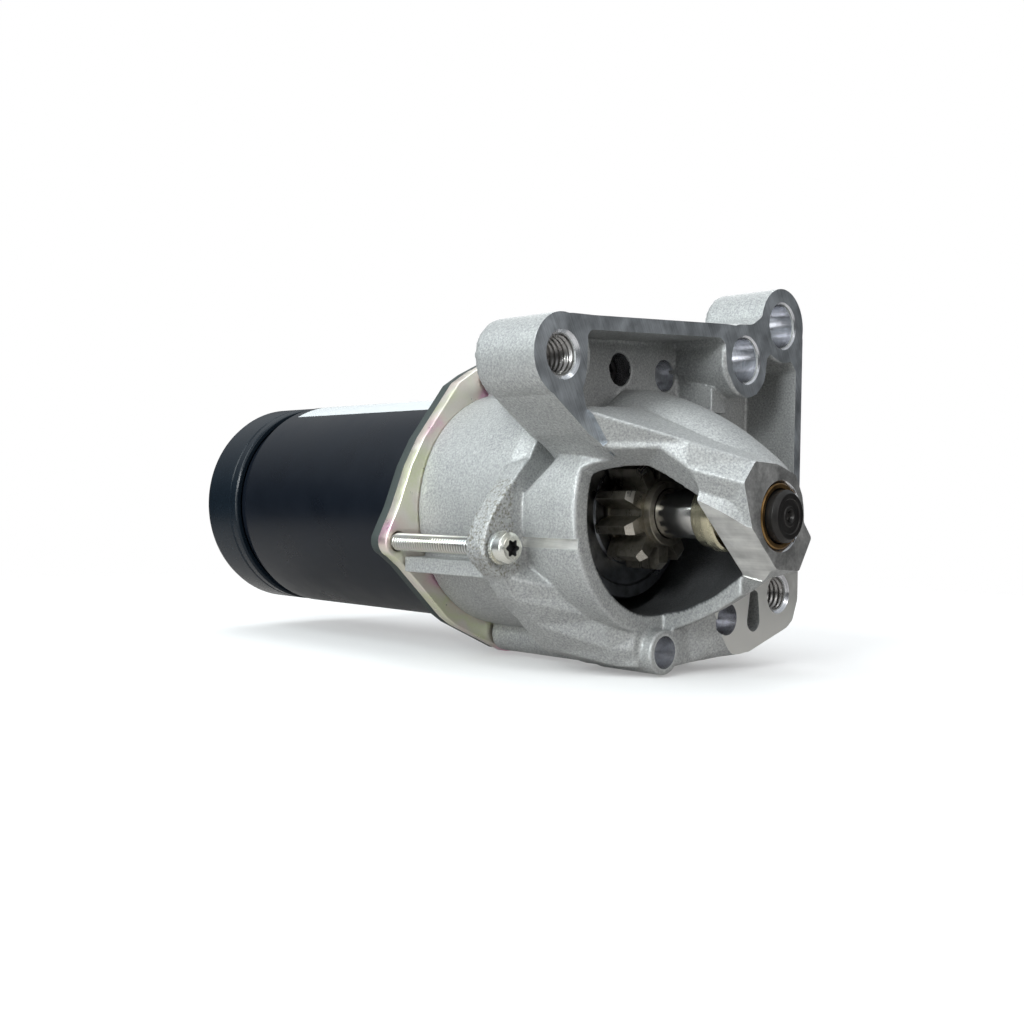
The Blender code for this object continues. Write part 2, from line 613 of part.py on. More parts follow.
def fork_lever():
    """Drawn flat about its pivot: x runs to the plunger end, z across, y through it."""
    lower = -FORK_PIVOT_R / math.cos(FORK_TILT)
    upper = (SOLENOID_OFFSET - FORK_PIVOT_R) / math.cos(FORK_TILT)
    half = [(upper + 2.6, 3.5), (upper + 2.6, 6.4), (upper - 4.0, 6.4), (upper - 12.0, 7.5),
            (0.0, 7.5), (-4.5, 9.6), (-8.0, 14.0), (-11.0, 15.4), (lower - 2.0, 15.4),
            (lower - 2.0, 12.4), (-14.0, 12.4), (-11.5, 9.5), (-11.0, 0.0)]
    other = [(x, -z) for x, z in half[::-1][1:]]
    slot = [(upper - 6.0, -3.5), (upper - 6.0, 3.5)]
    lever = slab("fork_lever", [half + other + slot], -1.6, 1.6, "steel")
    join(lever, cross_rod("add_fork_hub", (0, 0, -7.2), (0, 0, 7.2), 5.0))
    for side in (-1, 1):
        tag = "a" if side < 0 else "b"
        join(lever, cross_rod("add_fork_pad_" + tag, (lower, 0, side * 12.6), (lower, 0, side * 15.2), 4.1))
        join(lever, cross_rod("add_fork_tip_" + tag, (upper, 0, side * 3.7), (upper, 0, side * 6.2), 3.6))
    combine(lever, cross_rod("cut_fork_hub", (0, 0, -9), (0, 0, 9), 2.5 + GAP))
    bake(lever)

    x, z = toward_solenoid(FORK_PIVOT_R)
    outward = Vector((math.cos(SOLENOID_ANGLE), 0, math.sin(SOLENOID_ANGLE)))
    along = outward * math.cos(FORK_TILT) - Vector((0, 1, 0)) * math.sin(FORK_TILT)
    across = Vector((-math.sin(SOLENOID_ANGLE), 0, math.cos(SOLENOID_ANGLE)))
    through = across.cross(along)
    placed = Matrix((along, through, across)).transposed().to_4x4()
    placed.translation = Vector((x, FORK_PIVOT_Y, z)) * MM
    lever.matrix_world = placed

    start, end = toward_solenoid(FORK_PIVOT_R, -14.0), toward_solenoid(FORK_PIVOT_R, 11.7)
    cross_rod("fork_pivot_pin", (start[0], FORK_PIVOT_Y, start[1]), (end[0], FORK_PIVOT_Y, end[1]), 2.5, "steel")


# =========================================================================================
# Plate, seal and the motor
# =========================================================================================
BOLT_R = 2.45
BOLT_CIRCLE_R = 27.4
BOLT_ANGLES = (45, 225)


def bolt_places():
    for index, degrees in enumerate(BOLT_ANGLES, 1):
        angle = math.radians(degrees)
        yield index, BOLT_CIRCLE_R * math.cos(angle), BOLT_CIRCLE_R * math.sin(angle)


def plate_outline(grow=0.0):
    ear_x, ear_z = PLATE_SCREWS[0]
    outline = [(-13.4, 40.0), (-19.3, 36.3), (-32.1, 19.8), (-36.5, 11.9), (-41.0, 0.2), (-43.9, -5.4)]
    outline += arc(ear_x, ear_z, 4.4, 170, 240, 4)
    outline += [(-38.2, -16.6), (-22.3, -31.5), (-18.6, -33.9), (1.5, -42.8), (4.5, -43.0), (13.0, -33.0)]
    outline += arc(0, 0, 34.6, -60, 76, 20)
    outline += [(2.0, 43.0), (-6.0, 43.6)]
    if grow:
        outline = [(x * (1 + grow / math.hypot(x, z)), z * (1 + grow / math.hypot(x, z))) for x, z in outline]
    return outline


def plate_and_seal():
    screw_holes = [circle(x, z, SCREW_R + GAP, 16) for x, z in PLATE_SCREWS]
    bolt_holes = [circle(x, z, BOLT_R + GAP, 16) for _, x, z in bolt_places()]
    slab("mounting_plate", [plate_outline(), circle(0, 0, 11.0, 24)] + screw_holes + bolt_holes,
         *PLATE_Y, "zinc")
    slab("plate_seal", [plate_outline(-1.2), circle(0, 0, 30.6, 36)] + screw_holes, *SEAL_Y, "rubber")


def motor_case():
    tube = ring("motor_tube", TUBE_R, TUBE_BORE_R, *TUBE_Y, "paint", steps=44)
    start = toward_solenoid(29.0)
    end = toward_solenoid(36.0)
    combine(tube, cross_rod("cut_lead_way", (start[0], LEAD_Y, start[1]), (end[0], LEAD_Y, end[1]), 4.4))
    cap = turned("rear_cap", [
        (0, CAP_Y[1]), (29.4, CAP_Y[1]), (31.4, 180.7), (32.9, 179.4), (33.6, 177.4), (33.6, CAP_Y[0]),
        (31.4, CAP_Y[0]), (31.4, 175.6), (10.5, 175.6), (10.5, 166.0), (6.4, 166.0), (6.4, 177.6),
        (0, 177.6)], "paint", steps=44)
    for index, x, z in bolt_places():
        combine(cap, rod("cut_head_%d" % index, 5.2, 178.2, 182.0, x=x, z=z, steps=24))
        combine(cap, rod("cut_bolt_%d" % index, BOLT_R + GAP, 174.0, 182.0, x=x, z=z, steps=16))
        bolt = rod("through_bolt_%d" % index, BOLT_R, 66.6, 179.0, "zinc", x=x, z=z, steps=16)
        join(bolt, rod("add_bolt_head_%d" % index, 4.5, 178.5, 181.9, x=x, z=z, steps=6))
    ring("rear_bush", 6.1, 4.3, 166.3, 176.6, "bronze", steps=24)


MAGNETS = 4
MAGNET_HALF_ANGLE = 36


def magnets():
    for i in range(MAGNETS):
        mid = 90 * i
        low, high = mid - MAGNET_HALF_ANGLE, mid + MAGNET_HALF_ANGLE
        outline = arc(0, 0, MAGNET_R[1], low, high, 10) + arc(0, 0, MAGNET_R[0], high, low, 10)
        slab("magnet_%d" % (i + 1), [outline], 81.0, 135.0, "ferrite")


CORE_SLOTS = 12
CORE_Y = (82.0, 134.0)
COIL_HEAD_Y = (74.0, 142.5)
COMMUTATOR_Y = (144.0, 158.0)


def armature():
    shaft = turned("armature_shaft", [
        (0, 175.5), (3.2, 175.5), (4.0, 174.7), (4.0, 66.0), (4.0, 48.2), (3.4, 47.4), (0, 47.4)],
        "steel", steps=24)
    join(shaft, slab("add_sun_gear", [gear_points(SUN_TEETH, 0.0)], GEAR_Y[0] - 0.3, GEAR_Y[1] + 0.5))

    core = ring("armature_core", CORE_R, 4.3, *CORE_Y, "steel", steps=32)
    winding = turned("armature_winding", [
        (9.0, COIL_HEAD_Y[1]), (15.0, COIL_HEAD_Y[1]), (19.4, 139.0), (19.6, CORE_Y[1] + GAP),
        (8.0, CORE_Y[1] + GAP), (5.5, 140.0), (5.5, COIL_HEAD_Y[1])], "copper", steps=24, closed=True)
    join(winding, turned("add_coil_head", [
        (8.0, CORE_Y[0] - GAP), (19.6, CORE_Y[0] - GAP), (19.4, 77.0), (15.0, COIL_HEAD_Y[0]),
        (5.5, COIL_HEAD_Y[0]), (5.5, 77.0)], steps=24, closed=True))
    for i in range(CORE_SLOTS):
        turn = 2 * math.pi * i / CORE_SLOTS
        slot = slab("cut_slot_%d" % i, [turn_points(rectangle(12.0, -1.5, 23.0, 1.5), turn)],
                    CORE_Y[0] - 1, CORE_Y[1] + 1)
        combine(core, slot)
        join(winding, slab("add_bar_%d" % i, [turn_points(rectangle(12.4, -1.1, 19.2, 1.1), turn)],
                           CORE_Y[0] - 2, CORE_Y[1] + 2))
    slab("commutator", [gear_outline(20, 11.3, 12.0, 0.93, 0.90), circle(0, 0, 4.3, 24)],
         *COMMUTATOR_Y, "copper")


# =========================================================================================
# Brush gear
# =========================================================================================
BRUSH_Y = (148.6, 155.4)
BRUSH_RADII = (12.4, 21.0)
GUIDE_RADII = (13.4, 29.6)
BRUSH_HALF = 3.4


def coil(name, start, end, radius, wire, turns, finish, per_turn=7, sides=0):
    """A compression spring between two points, as a welded helix."""
    start, end = Vector(start) * MM, Vector(end) * MM
    axis = (end - start).normalized()
    side = axis.orthogonal().normalized()
    other = axis.cross(side)
    count = int(turns * per_turn)
    curve = bpy.data.curves.new(name, "CURVE")
    curve.dimensions = "3D"
    curve.bevel_depth = wire * MM
    curve.bevel_resolution = sides
    curve.use_fill_caps = True
    spline = curve.splines.new("POLY")
    spline.points.add(count)
    for i, point in enumerate(spline.points):
        angle = 2 * math.pi * i / per_turn
        centre = start.lerp(end, i / count)
        place = centre + (side * math.cos(angle) + other * math.sin(angle)) * radius * MM
        point.co = (*place, 1.0)
    guide = bpy.data.objects.new(name + "_path", curve)
    CUTTERS.objects.link(guide)
    bpy.context.view_layer.update()
    mesh = weld(evaluated_mesh(guide))
    bpy.data.objects.remove(guide)
    return add_object(name, mesh, finish)


def brush_gear():
    holder = ring("brush_holder", 30.4, 13.2, 157.2, 159.4, "plastic", steps=32)
    for index, x, z in bolt_places():
        combine(holder, rod("cut_holder_%d" % index, BOLT_R + GAP, 156.0, 161.0, x=x, z=z, steps=16))
    for i in range(4):
        turn = math.pi / 2 * i
        guide = slab("add_guide_%d" % i, [turn_points(
            rectangle(GUIDE_RADII[0], -5.0, GUIDE_RADII[1], 5.0), turn)], BRUSH_Y[0] - 1.2, 157.6)
        join(holder, guide)
    for i in range(4):
        turn = math.pi / 2 * i
        channel = slab("cut_channel_%d" % i, [turn_points(
            rectangle(GUIDE_RADII[0] - 1, -BRUSH_HALF - GAP, GUIDE_RADII[1] - 1.0, BRUSH_HALF + GAP), turn)],
            BRUSH_Y[0] - GAP, BRUSH_Y[1] + GAP)
        combine(holder, channel)
        slab("brush_%d" % (i + 1), [turn_points(
            rectangle(BRUSH_RADII[0], -BRUSH_HALF, BRUSH_RADII[1], BRUSH_HALF), turn)], *BRUSH_Y, "carbon")
        c, s = math.cos(turn), math.sin(turn)
        mid = sum(BRUSH_Y) / 2
        inner, outer = BRUSH_RADII[1] + 0.8, GUIDE_RADII[1] - 1.8
        coil("brush_spring_%d" % (i + 1), (inner * c, mid, inner * s), (outer * c, mid, outer * s),
             2.2, 0.4, 3.5, "steel")


# =========================================================================================
# Solenoid
# =========================================================================================
STUD_SIDE = 10.0
STUD_R = 3.9
LEAD_Y = 143.0


def solenoid():
    at = {"x": SOL_X, "z": SOL_Z}
    front, rear = SOLENOID_Y
    case = turned("solenoid_case", [
        (SOLENOID_R, rear), (SOLENOID_R, front), (11.6, front), (11.6, front + 3.2),
        (20.0, front + 3.2), (20.0, rear)], "paint", steps=32, closed=True, **at)
    ring("solenoid_coil", 19.6, 12.2, front + 3.6, 86.0, "copper", steps=28, **at)
    turned("solenoid_core", [
        (19.6, 92.5), (19.6, 86.4), (11.6, 86.4), (11.6, 79.5), (2.6, 79.5), (2.6, 92.5)],
        "steel", steps=28, closed=True, **at)
    eye = PLUNGER_EYE_Y
    turned("solenoid_plunger", [
        (0, 56.0), (8.4, 56.0), (8.4, 67.5), (11.2, 67.5), (11.2, eye + 4.1), (3.0, eye + 4.1),
        (3.0, eye - 4.1), (7.0, eye - 4.1), (7.0, eye - 6.0), (0, eye - 6.0)], "steel", steps=24, **at)
    coil("return_spring", (SOL_X, 56.9, SOL_Z), (SOL_X, 78.7, SOL_Z), 7.0, 0.6, 5.5, "steel")
    contact = turned("moving_contact", [
        (0, 101.0), (13.5, 101.0), (13.5, 99.2), (2.0, 99.2), (2.0, 71.0), (0, 71.0)],
        "copper", steps=20, **at)

    cap = turned("solenoid_cap", [
        (0, 112.0), (19.4, 112.0), (20.6, 110.8), (21.8, 98.4), (19.0, 98.4), (18.0, 108.6), (0, 108.6)],
        "plastic", steps=32, **at)
    studs = (("battery", STUD_SIDE, 112.3), ("motor", -STUD_SIDE, 114.2))
    for name, offset, nut_y in studs:
        x, z = toward_solenoid(SOLENOID_OFFSET + offset)
        combine(cap, rod("cut_%s_stud" % name, STUD_R + GAP, 107.0, 113.0, x=x, z=z))
        stud = turned(name + "_stud", [
            (0, 127.0), (STUD_R - 0.8, 127.0), (STUD_R, 126.2), (STUD_R, 108.2), (6.2, 108.2),
            (6.2, 104.6), (0, 104.6)], "copper", x=x, z=z, steps=SMALL)
        nut = slab(name + "_nut", [circle(x, z, 7.4, 6), circle(x, z, STUD_R + GAP)], nut_y, nut_y + 6.0, "zinc")
    blade = solenoid_rectangle(SOLENOID_OFFSET - 3.1, SOLENOID_OFFSET + 3.1, 0.4)
    shift = toward_solenoid(0.0, 13.0)
    blade = [(x + shift[0], z + shift[1]) for x, z in blade]
    room = solenoid_rectangle(SOLENOID_OFFSET - 3.4, SOLENOID_OFFSET + 3.4, 0.7)
    room = [(x + shift[0], z + shift[1]) for x, z in room]
    combine(cap, slab("cut_blade_way", [room], 107.0, 113.0))
    slab("spade_terminal", [blade], 106.0, 121.0, "zinc")

    for index, side in enumerate((-SOLENOID_SCREW_SIDE, SOLENOID_SCREW_SIDE), 1):
        x, z = toward_solenoid(SOLENOID_OFFSET, side)
        combine(case, rod("cut_case_screw_%d" % index, SCREW_R + GAP, front - 1, front + 5, x=x, z=z, steps=16))
        screw = turned("solenoid_screw_%d" % index, [
            (0, 47.4), (SCREW_R, 47.4), (SCREW_R, 35.7), (SCREW_HEAD_R, 35.7), (SCREW_HEAD_R, 32.0),
            (0, 32.0)], "zinc", x=x, z=z, steps=16)


def motor_lead():
    """Stranded lead from the motor stud, over an eyelet, to the grommet in the tube."""
    stud_x, stud_z = toward_solenoid(SOLENOID_OFFSET - STUD_SIDE)
    way = ((37.2, 112.6), (37.2, 118.0), (38.4, 124.0), (40.0, 130.0), (41.0, 136.0), (40.2, 141.0),
           (37.6, LEAD_Y))
    curve = bpy.data.curves.new("motor_lead", "CURVE")
    curve.dimensions = "3D"
    curve.bevel_depth = 2.4 * MM
    curve.bevel_resolution = 2
    curve.use_fill_caps = True
    spline = curve.splines.new("POLY")
    spline.points.add(len(way))
    for point, (distance, y) in zip(spline.points, way + ((24.0 + 7.5, LEAD_Y),)):
        x, z = toward_solenoid(distance)
        point.co = (x * MM, y * MM, z * MM, 1.0)
    guide = bpy.data.objects.new("motor_lead_path", curve)
    CUTTERS.objects.link(guide)
    bpy.context.view_layer.update()
    lead = add_object("motor_lead", weld(evaluated_mesh(guide)), "copper")
    bpy.data.objects.remove(guide)
    join(lead, rod("add_eyelet", 7.0, 112.4, 113.9, x=stud_x, z=stud_z, steps=24))
    join(lead, slab("add_eyelet_tab", [solenoid_rectangle(36.0, 43.0, 2.8)], 112.5, 113.8))
    combine(lead, rod("cut_eyelet", STUD_R + GAP, 110.0, 116.0, x=stud_x, z=stud_z, steps=20))
    start, end = toward_solenoid(30.6), toward_solenoid(36.2)
    grommet = cross_rod("lead_grommet", (start[0], LEAD_Y, start[1]), (end[0], LEAD_Y, end[1]), 4.1, "rubber")
    start, end = toward_solenoid(29.0), toward_solenoid(38.0)
    combine(grommet, cross_rod("cut_grommet", (start[0], LEAD_Y, start[1]), (end[0], LEAD_Y, end[1]), 2.9))


# =========================================================================================
# Plate screws
# =========================================================================================
def plate_screws():
    for index, (x, z) in enumerate(PLATE_SCREWS, 1):
        washer_r = 4.4 if index == 1 else 4.1       # the sunk heads have to clear their bores
        screw = turned("plate_screw_%d" % index, [
            (0, 76.0), (1.4, 75.8), (SCREW_R, 74.4), (SCREW_R, 26.1), (washer_r, 26.1), (washer_r, 25.2),
            (SCREW_HEAD_R - 0.1, 25.2), (SCREW_HEAD_R, 22.2), (3.5, 21.5), (0, 21.5)],
            "zinc", x=x, z=z, steps=16)
        combine(screw, rod("cut_drive_%d" % index, 1.9, 20.0, 23.6, x=x, z=z, steps=6))


def main():
    shade(drive_end_housing())
    ring("nose_bush", 8.2, SHAFT_R + GAP, -29.9, -18.9, "bronze", steps=32)
    drive_shaft()
    pinion()
    clutch()
    stop_pieces()
    reduction()
    fork_lever()
    plate_and_seal()
    motor_case()
    magnets()
    armature()
    brush_gear()
    solenoid()
    motor_lead()
    plate_screws()
    weld_seams()


main()
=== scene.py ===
import math

import bpy
import bmesh
import numpy as np
from mathutils import Matrix, Vector


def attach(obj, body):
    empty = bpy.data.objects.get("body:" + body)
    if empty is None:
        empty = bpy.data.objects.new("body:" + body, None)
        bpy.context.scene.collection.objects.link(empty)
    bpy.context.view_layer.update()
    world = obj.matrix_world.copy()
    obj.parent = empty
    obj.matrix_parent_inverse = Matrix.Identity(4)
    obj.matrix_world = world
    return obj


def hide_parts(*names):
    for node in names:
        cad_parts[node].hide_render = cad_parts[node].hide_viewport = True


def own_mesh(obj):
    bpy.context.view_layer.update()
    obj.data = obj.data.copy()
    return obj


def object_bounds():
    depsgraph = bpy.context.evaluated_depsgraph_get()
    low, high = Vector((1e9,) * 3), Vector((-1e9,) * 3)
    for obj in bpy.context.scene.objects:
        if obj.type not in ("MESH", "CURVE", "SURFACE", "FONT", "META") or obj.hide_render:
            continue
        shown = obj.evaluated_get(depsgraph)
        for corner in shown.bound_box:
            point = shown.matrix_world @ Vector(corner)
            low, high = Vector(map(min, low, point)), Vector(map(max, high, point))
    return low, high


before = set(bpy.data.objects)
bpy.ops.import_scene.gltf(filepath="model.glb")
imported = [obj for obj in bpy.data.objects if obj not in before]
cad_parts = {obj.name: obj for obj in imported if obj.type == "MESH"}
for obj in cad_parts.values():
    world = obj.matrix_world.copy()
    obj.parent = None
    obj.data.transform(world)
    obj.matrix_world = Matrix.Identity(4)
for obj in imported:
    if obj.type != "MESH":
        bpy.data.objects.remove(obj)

CAD_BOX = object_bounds()
MM = 0.001
SCENE = bpy.context.scene

# the CAD model's own sizes, in millimetres; a hole is (x, z, radius)
SOLENOID_ANGLE = math.radians(25.0)
SOLENOID_OFFSET = 57.5
HOLE_A = (-46.6, 37.2, 4.9)
HOLE_C = (45.5, 54.0, 6.2)
HOLE_D = (27.6, 42.6, 6.2)
HOLE_E = (45.9, -22.9, 4.7)
PLATE_SCREWS = ((-40.9, -9.3), (-5.8, 38.2), (0.0, -36.9))
STUD_OFFSET = 10.0
SCREW_BORE_R = 2.75
SCREW_HEAD_BORE_R = 4.4
SCREW_SEAT_Y = 26.4
SCREW_PAD_R = 6.0
POCKET_HOLE = (13.4, 38.1, 4.4)
BORE_G = (21.0, -28.8, 4.5)
BUSH_BORE_R = 8.45
TUBE_R = 33.7
PLATE_Y = (66.3, 70.0)
SEAL_Y = (70.3, 74.0)
BOLT_CIRCLE_R = 27.4
BOLT_PLACES = [(BOLT_CIRCLE_R * math.cos(math.radians(a)), BOLT_CIRCLE_R * math.sin(math.radians(a)))
               for a in (45, 225)]


def toward_solenoid(distance, side=0.0):
    c, s = math.cos(SOLENOID_ANGLE), math.sin(SOLENOID_ANGLE)
    return distance * c - side * s, distance * s + side * c


# ---- Materials ----
def set_stops(ramp, stops):
    """Fills a colour ramp from (position, colour or grey) pairs."""
    elements = ramp.color_ramp.elements
    while len(elements) < len(stops):
        elements.new(0.5)
    for element, (place, value) in zip(elements, stops):
        element.position = place
        element.color = (*value, 1.0) if isinstance(value, tuple) else (value, value, value, 1.0)


def scaled(colour, factor):
    return tuple(min(1.0, c * factor) for c in colour)


class Shade:
    """Builds one procedural material; texture sizes are in millimetres."""

    def __init__(self, name, colour, **values):
        self.mat = bpy.data.materials.new(name)
        self.mat.use_nodes = True
        self.tree = self.mat.node_tree
        self.shader = self.tree.nodes["Principled BSDF"]
        self.shader.inputs["Base Color"].default_value = (*colour, 1.0)
        for key, value in values.items():
            self.shader.inputs[key.replace("_", " ")].default_value = value
        self.coords = self.node("ShaderNodeTexCoord").outputs["Object"]
        self.normal = None

    def node(self, kind, **settings):
        made = self.tree.nodes.new(kind)
        for key, value in settings.items():
            setattr(made, key, value)
        return made

    def wire(self, source, socket):
        if isinstance(source, (int, float)):
            socket.default_value = source
        elif isinstance(source, tuple):
            socket.default_value = (*source, 1.0) if len(source) == 3 else source
        else:
            self.tree.links.new(source, socket)

    def place(self, stretch=(1, 1, 1), turn=(0, 0, 0)):
        """Object coordinates in millimetres, turned and then squeezed along each axis."""
        spin = self.node("ShaderNodeMapping")
        spin.inputs["Rotation"].default_value = turn
        self.wire(self.coords, spin.inputs["Vector"])
        scale = self.node("ShaderNodeMapping")
        scale.inputs["Scale"].default_value = tuple(1000.0 / s for s in stretch)
        self.wire(spin.outputs["Vector"], scale.inputs["Vector"])
        return scale.outputs["Vector"]

    def noise(self, size, detail=2.0, rough=0.5, stretch=(1, 1, 1), turn=(0, 0, 0)):
        made = self.node("ShaderNodeTexNoise")
        self.wire(self.place(tuple(size * s for s in stretch), turn), made.inputs["Vector"])
        made.inputs["Scale"].default_value = 1.0
        made.inputs["Detail"].default_value = detail
        made.inputs["Roughness"].default_value = rough
        return made.outputs["Fac"]

    def ramp(self, fac, *stops):
        made = self.node("ShaderNodeValToRGB")
        set_stops(made, stops)
        self.wire(fac, made.inputs["Fac"])
        return made.outputs["Color"]

    def mix(self, fac, a, b, blend="MIX"):
        made = self.node("ShaderNodeMix", data_type="RGBA", blend_type=blend)
        for source, index in ((fac, 0), (a, 6), (b, 7)):
            self.wire(source, made.inputs[index])
        return made.outputs[2]

    def math(self, operation, a, b=0.0, clamp=False):
        made = self.node("ShaderNodeMath", operation=operation, use_clamp=clamp)
        self.wire(a, made.inputs[0])
        self.wire(b, made.inputs[1])
        return made.outputs[0]

    def average(self, a, b):
        return self.math("ADD", self.math("MULTIPLY", a, 0.5), self.math("MULTIPLY", b, 0.5))

    def attribute(self, name):
        return self.node("ShaderNodeAttribute", attribute_name=name).outputs["Fac"]

    def bump(self, height, strength, depth):
        made = self.node("ShaderNodeBump")
        made.inputs["Strength"].default_value = strength
        made.inputs["Distance"].default_value = depth * MM
        self.wire(height, made.inputs["Height"])
        if self.normal is not None:
            self.wire(self.normal, made.inputs["Normal"])
        self.normal = made.outputs["Normal"]
        self.wire(self.normal, self.shader.inputs["Normal"])

    def colour(self, source):
        self.wire(source, self.shader.inputs["Base Color"])

    def roughness(self, source):
        self.wire(source, self.shader.inputs["Roughness"])


def cast_metal(name):
    """Shot-blasted aluminium: grainy; paler on convex edges, partly rubbed wear and partly a painted
    highlight; painted shade darkens the creases and the inside of the cavity.
    """
    s = Shade(name, (0.62, 0.62, 0.61), Metallic=0.55)
    grain = s.noise(0.55, 3.0, 0.7)
    patch = s.noise(9.0, 3.0, 0.6)
    tone = s.ramp(grain, (0.34, (0.30, 0.30, 0.31)), (0.52, (0.53, 0.53, 0.525)), (0.68, (0.78, 0.78, 0.76)))
    tone = s.mix(0.35, tone, s.ramp(patch, (0.3, (0.42, 0.42, 0.42)), (0.7, (0.62, 0.62, 0.60))))
    # paler on convex edges: partly rubbed wear, partly a painted highlight
    edge = s.attribute("edge")
    tone = s.mix(s.math("MULTIPLY", edge, 0.55, True), tone, (0.86, 0.86, 0.85))
    # painted shade: concave creases darkened
    crease_shade = s.attribute("crease_shade")
    tone = s.mix(s.math("MULTIPLY", crease_shade, 0.6, True), tone, (0.22, 0.21, 0.20))
    # painted shade: the inside of the bell and dome darkened
    inner = s.attribute("inner")
    tone = s.mix(s.math("MULTIPLY", inner, 0.85, True), tone, (0.10, 0.10, 0.105))
    pits = s.ramp(s.noise(0.75, 3.0, 0.7), (0.38, 0.9), (0.50, 0.0))
    coarse = s.attribute("coarse")
    pitted = s.math("MULTIPLY", coarse, pits, True)
    tone = s.mix(pitted, tone, (0.24, 0.22, 0.17))
    s.colour(s.mix(1.0, tone, (0.74, 0.755, 0.76), "MULTIPLY"))
    s.roughness(s.ramp(grain, (0.3, 0.62), (0.7, 0.44)))
    s.bump(grain, 0.75, 0.11)
    s.bump(s.noise(2.2, 2.0), 0.35, 0.10)
    s.bump(s.math("MULTIPLY", coarse, s.noise(0.9, 3.0, 0.7)), 0.8, 0.4)
    return s.mat


def machined_metal(name, colour, rough, lines=(0.25, 60.0, 60.0), turn=(0, 0, 0), scratch=0.25,
                   painted_pale_foot=False):
    """Milled or bored metal with fine tool lines and a few stray scratches; optionally a painted reflection
    that makes the bottom paler.
    """
    s = Shade(name, colour, Metallic=0.9)
    tool = s.noise(1.0, 3.0, 0.6, lines, turn)
    cloud = s.noise(7.0, 3.0, 0.6)
    tone = s.ramp(s.average(tool, cloud), (0.36, scaled(colour, 0.72)), (0.62, scaled(colour, 1.22)))
    stray = s.ramp(s.noise(1.0, 2.0, 0.5, (0.5, 30.0, 30.0), (0.0, 0.9, 0.2)), (0.70, 0.0), (0.74, 1.0))
    # painted reflection: the face is paler towards its bottom
    if painted_pale_foot:
        axes = s.node("ShaderNodeSeparateXYZ")
        s.wire(s.place(), axes.inputs[0])
        foot = s.ramp(s.math("MULTIPLY", axes.outputs["Z"], -0.02), (0.20, 0.0), (0.36, 1.0))
        tone = s.mix(foot, tone, (0.80, 0.80, 0.77))
    s.colour(s.mix(s.math("MULTIPLY", stray, scratch), tone, (0.9, 0.9, 0.9)))
    s.roughness(s.ramp(cloud, (0.3, rough * 0.8), (0.7, rough * 1.25)))
    s.bump(tool, 0.25, 0.03)
    return s.mat


def paint(name, colour, rough):
    s = Shade(name, colour, Metallic=0.0, Coat_Weight=0.08, Coat_Roughness=0.18, Specular_IOR_Level=0.22)
    cloud = s.noise(14.0, 3.0, 0.6)
    s.colour(s.mix(cloud, scaled(colour, 0.75), scaled(colour, 1.35)))
    specks = s.ramp(s.noise(0.9, 1.0), (0.76, 0.0), (0.80, 1.0))
    s.roughness(s.math("ADD", s.ramp(cloud, (0.3, rough * 0.85), (0.7, rough * 1.2)),
                       s.math("MULTIPLY", specks, 0.12)))
    s.bump(s.noise(1.6, 2.0), 0.08, 0.04)
    s.bump(specks, 0.2, 0.05)
    return s.mat


def plated(name, pale, tints, rough):
    """Passivated zinc plate, with slow drifts between its tints."""
    s = Shade(name, pale, Metallic=0.9)
    drift = s.noise(17.0, 2.0, 0.5)
    stops = [(0.34 + 0.32 * i / (len(tints) - 1), tint) for i, tint in enumerate(tints)]
    tone = s.ramp(drift, *stops)
    fine = s.noise(0.8, 3.0, 0.6)
    tone = s.mix(s.ramp(fine, (0.35, 0.0), (0.7, 0.35)), tone, pale)
    # painted shade: thread grooves darker the deeper they lie
    s.colour(s.mix(s.attribute("groove_shade"), tone, scaled(pale, 0.16)))
    s.roughness(s.ramp(s.noise(3.0, 3.0, 0.6), (0.3, rough * 0.75), (0.7, rough * 1.4)))
    s.bump(fine, 0.05, 0.03)
    return s.mat


def turned_metal(name, colour, rough, lines=0.12, metallic=1.0, grime=None):
    """Metal turned on a lathe about Y, with fine rings."""
    s = Shade(name, colour, Metallic=metallic)
    rings = s.noise(1.0, 2.0, 0.6, (60.0, lines, 60.0))
    cloud = s.noise(5.0, 3.0, 0.6)
    tone = s.mix(cloud, scaled(colour, 0.7), scaled(colour, 1.25))
    if grime:
        tone = s.mix(s.ramp(s.noise(3.5, 4.0, 0.7), (0.45, 0.0), (0.7, 0.7)), tone, grime)
    s.colour(tone)
    s.roughness(s.ramp(s.average(rings, cloud), (0.35, rough * 0.7), (0.65, rough * 1.3)))
    s.bump(rings, 0.18, 0.02)
    return s.mat


def plain(name, colour, rough, size=1.2, metallic=0.0, strength=0.25, depth=0.06, spread=0.3):
    """Moulded, sintered or wound material with a fine even texture."""
    s = Shade(name, colour, Metallic=metallic)
    grain = s.noise(size, 3.0, 0.6)
    s.colour(s.mix(grain, scaled(colour, 1 - spread), scaled(colour, 1 + spread)))
    s.roughness(s.ramp(grain, (0.3, rough * 0.85), (0.7, min(1.0, rough * 1.15))))
    s.bump(grain, strength, depth)
    return s.mat


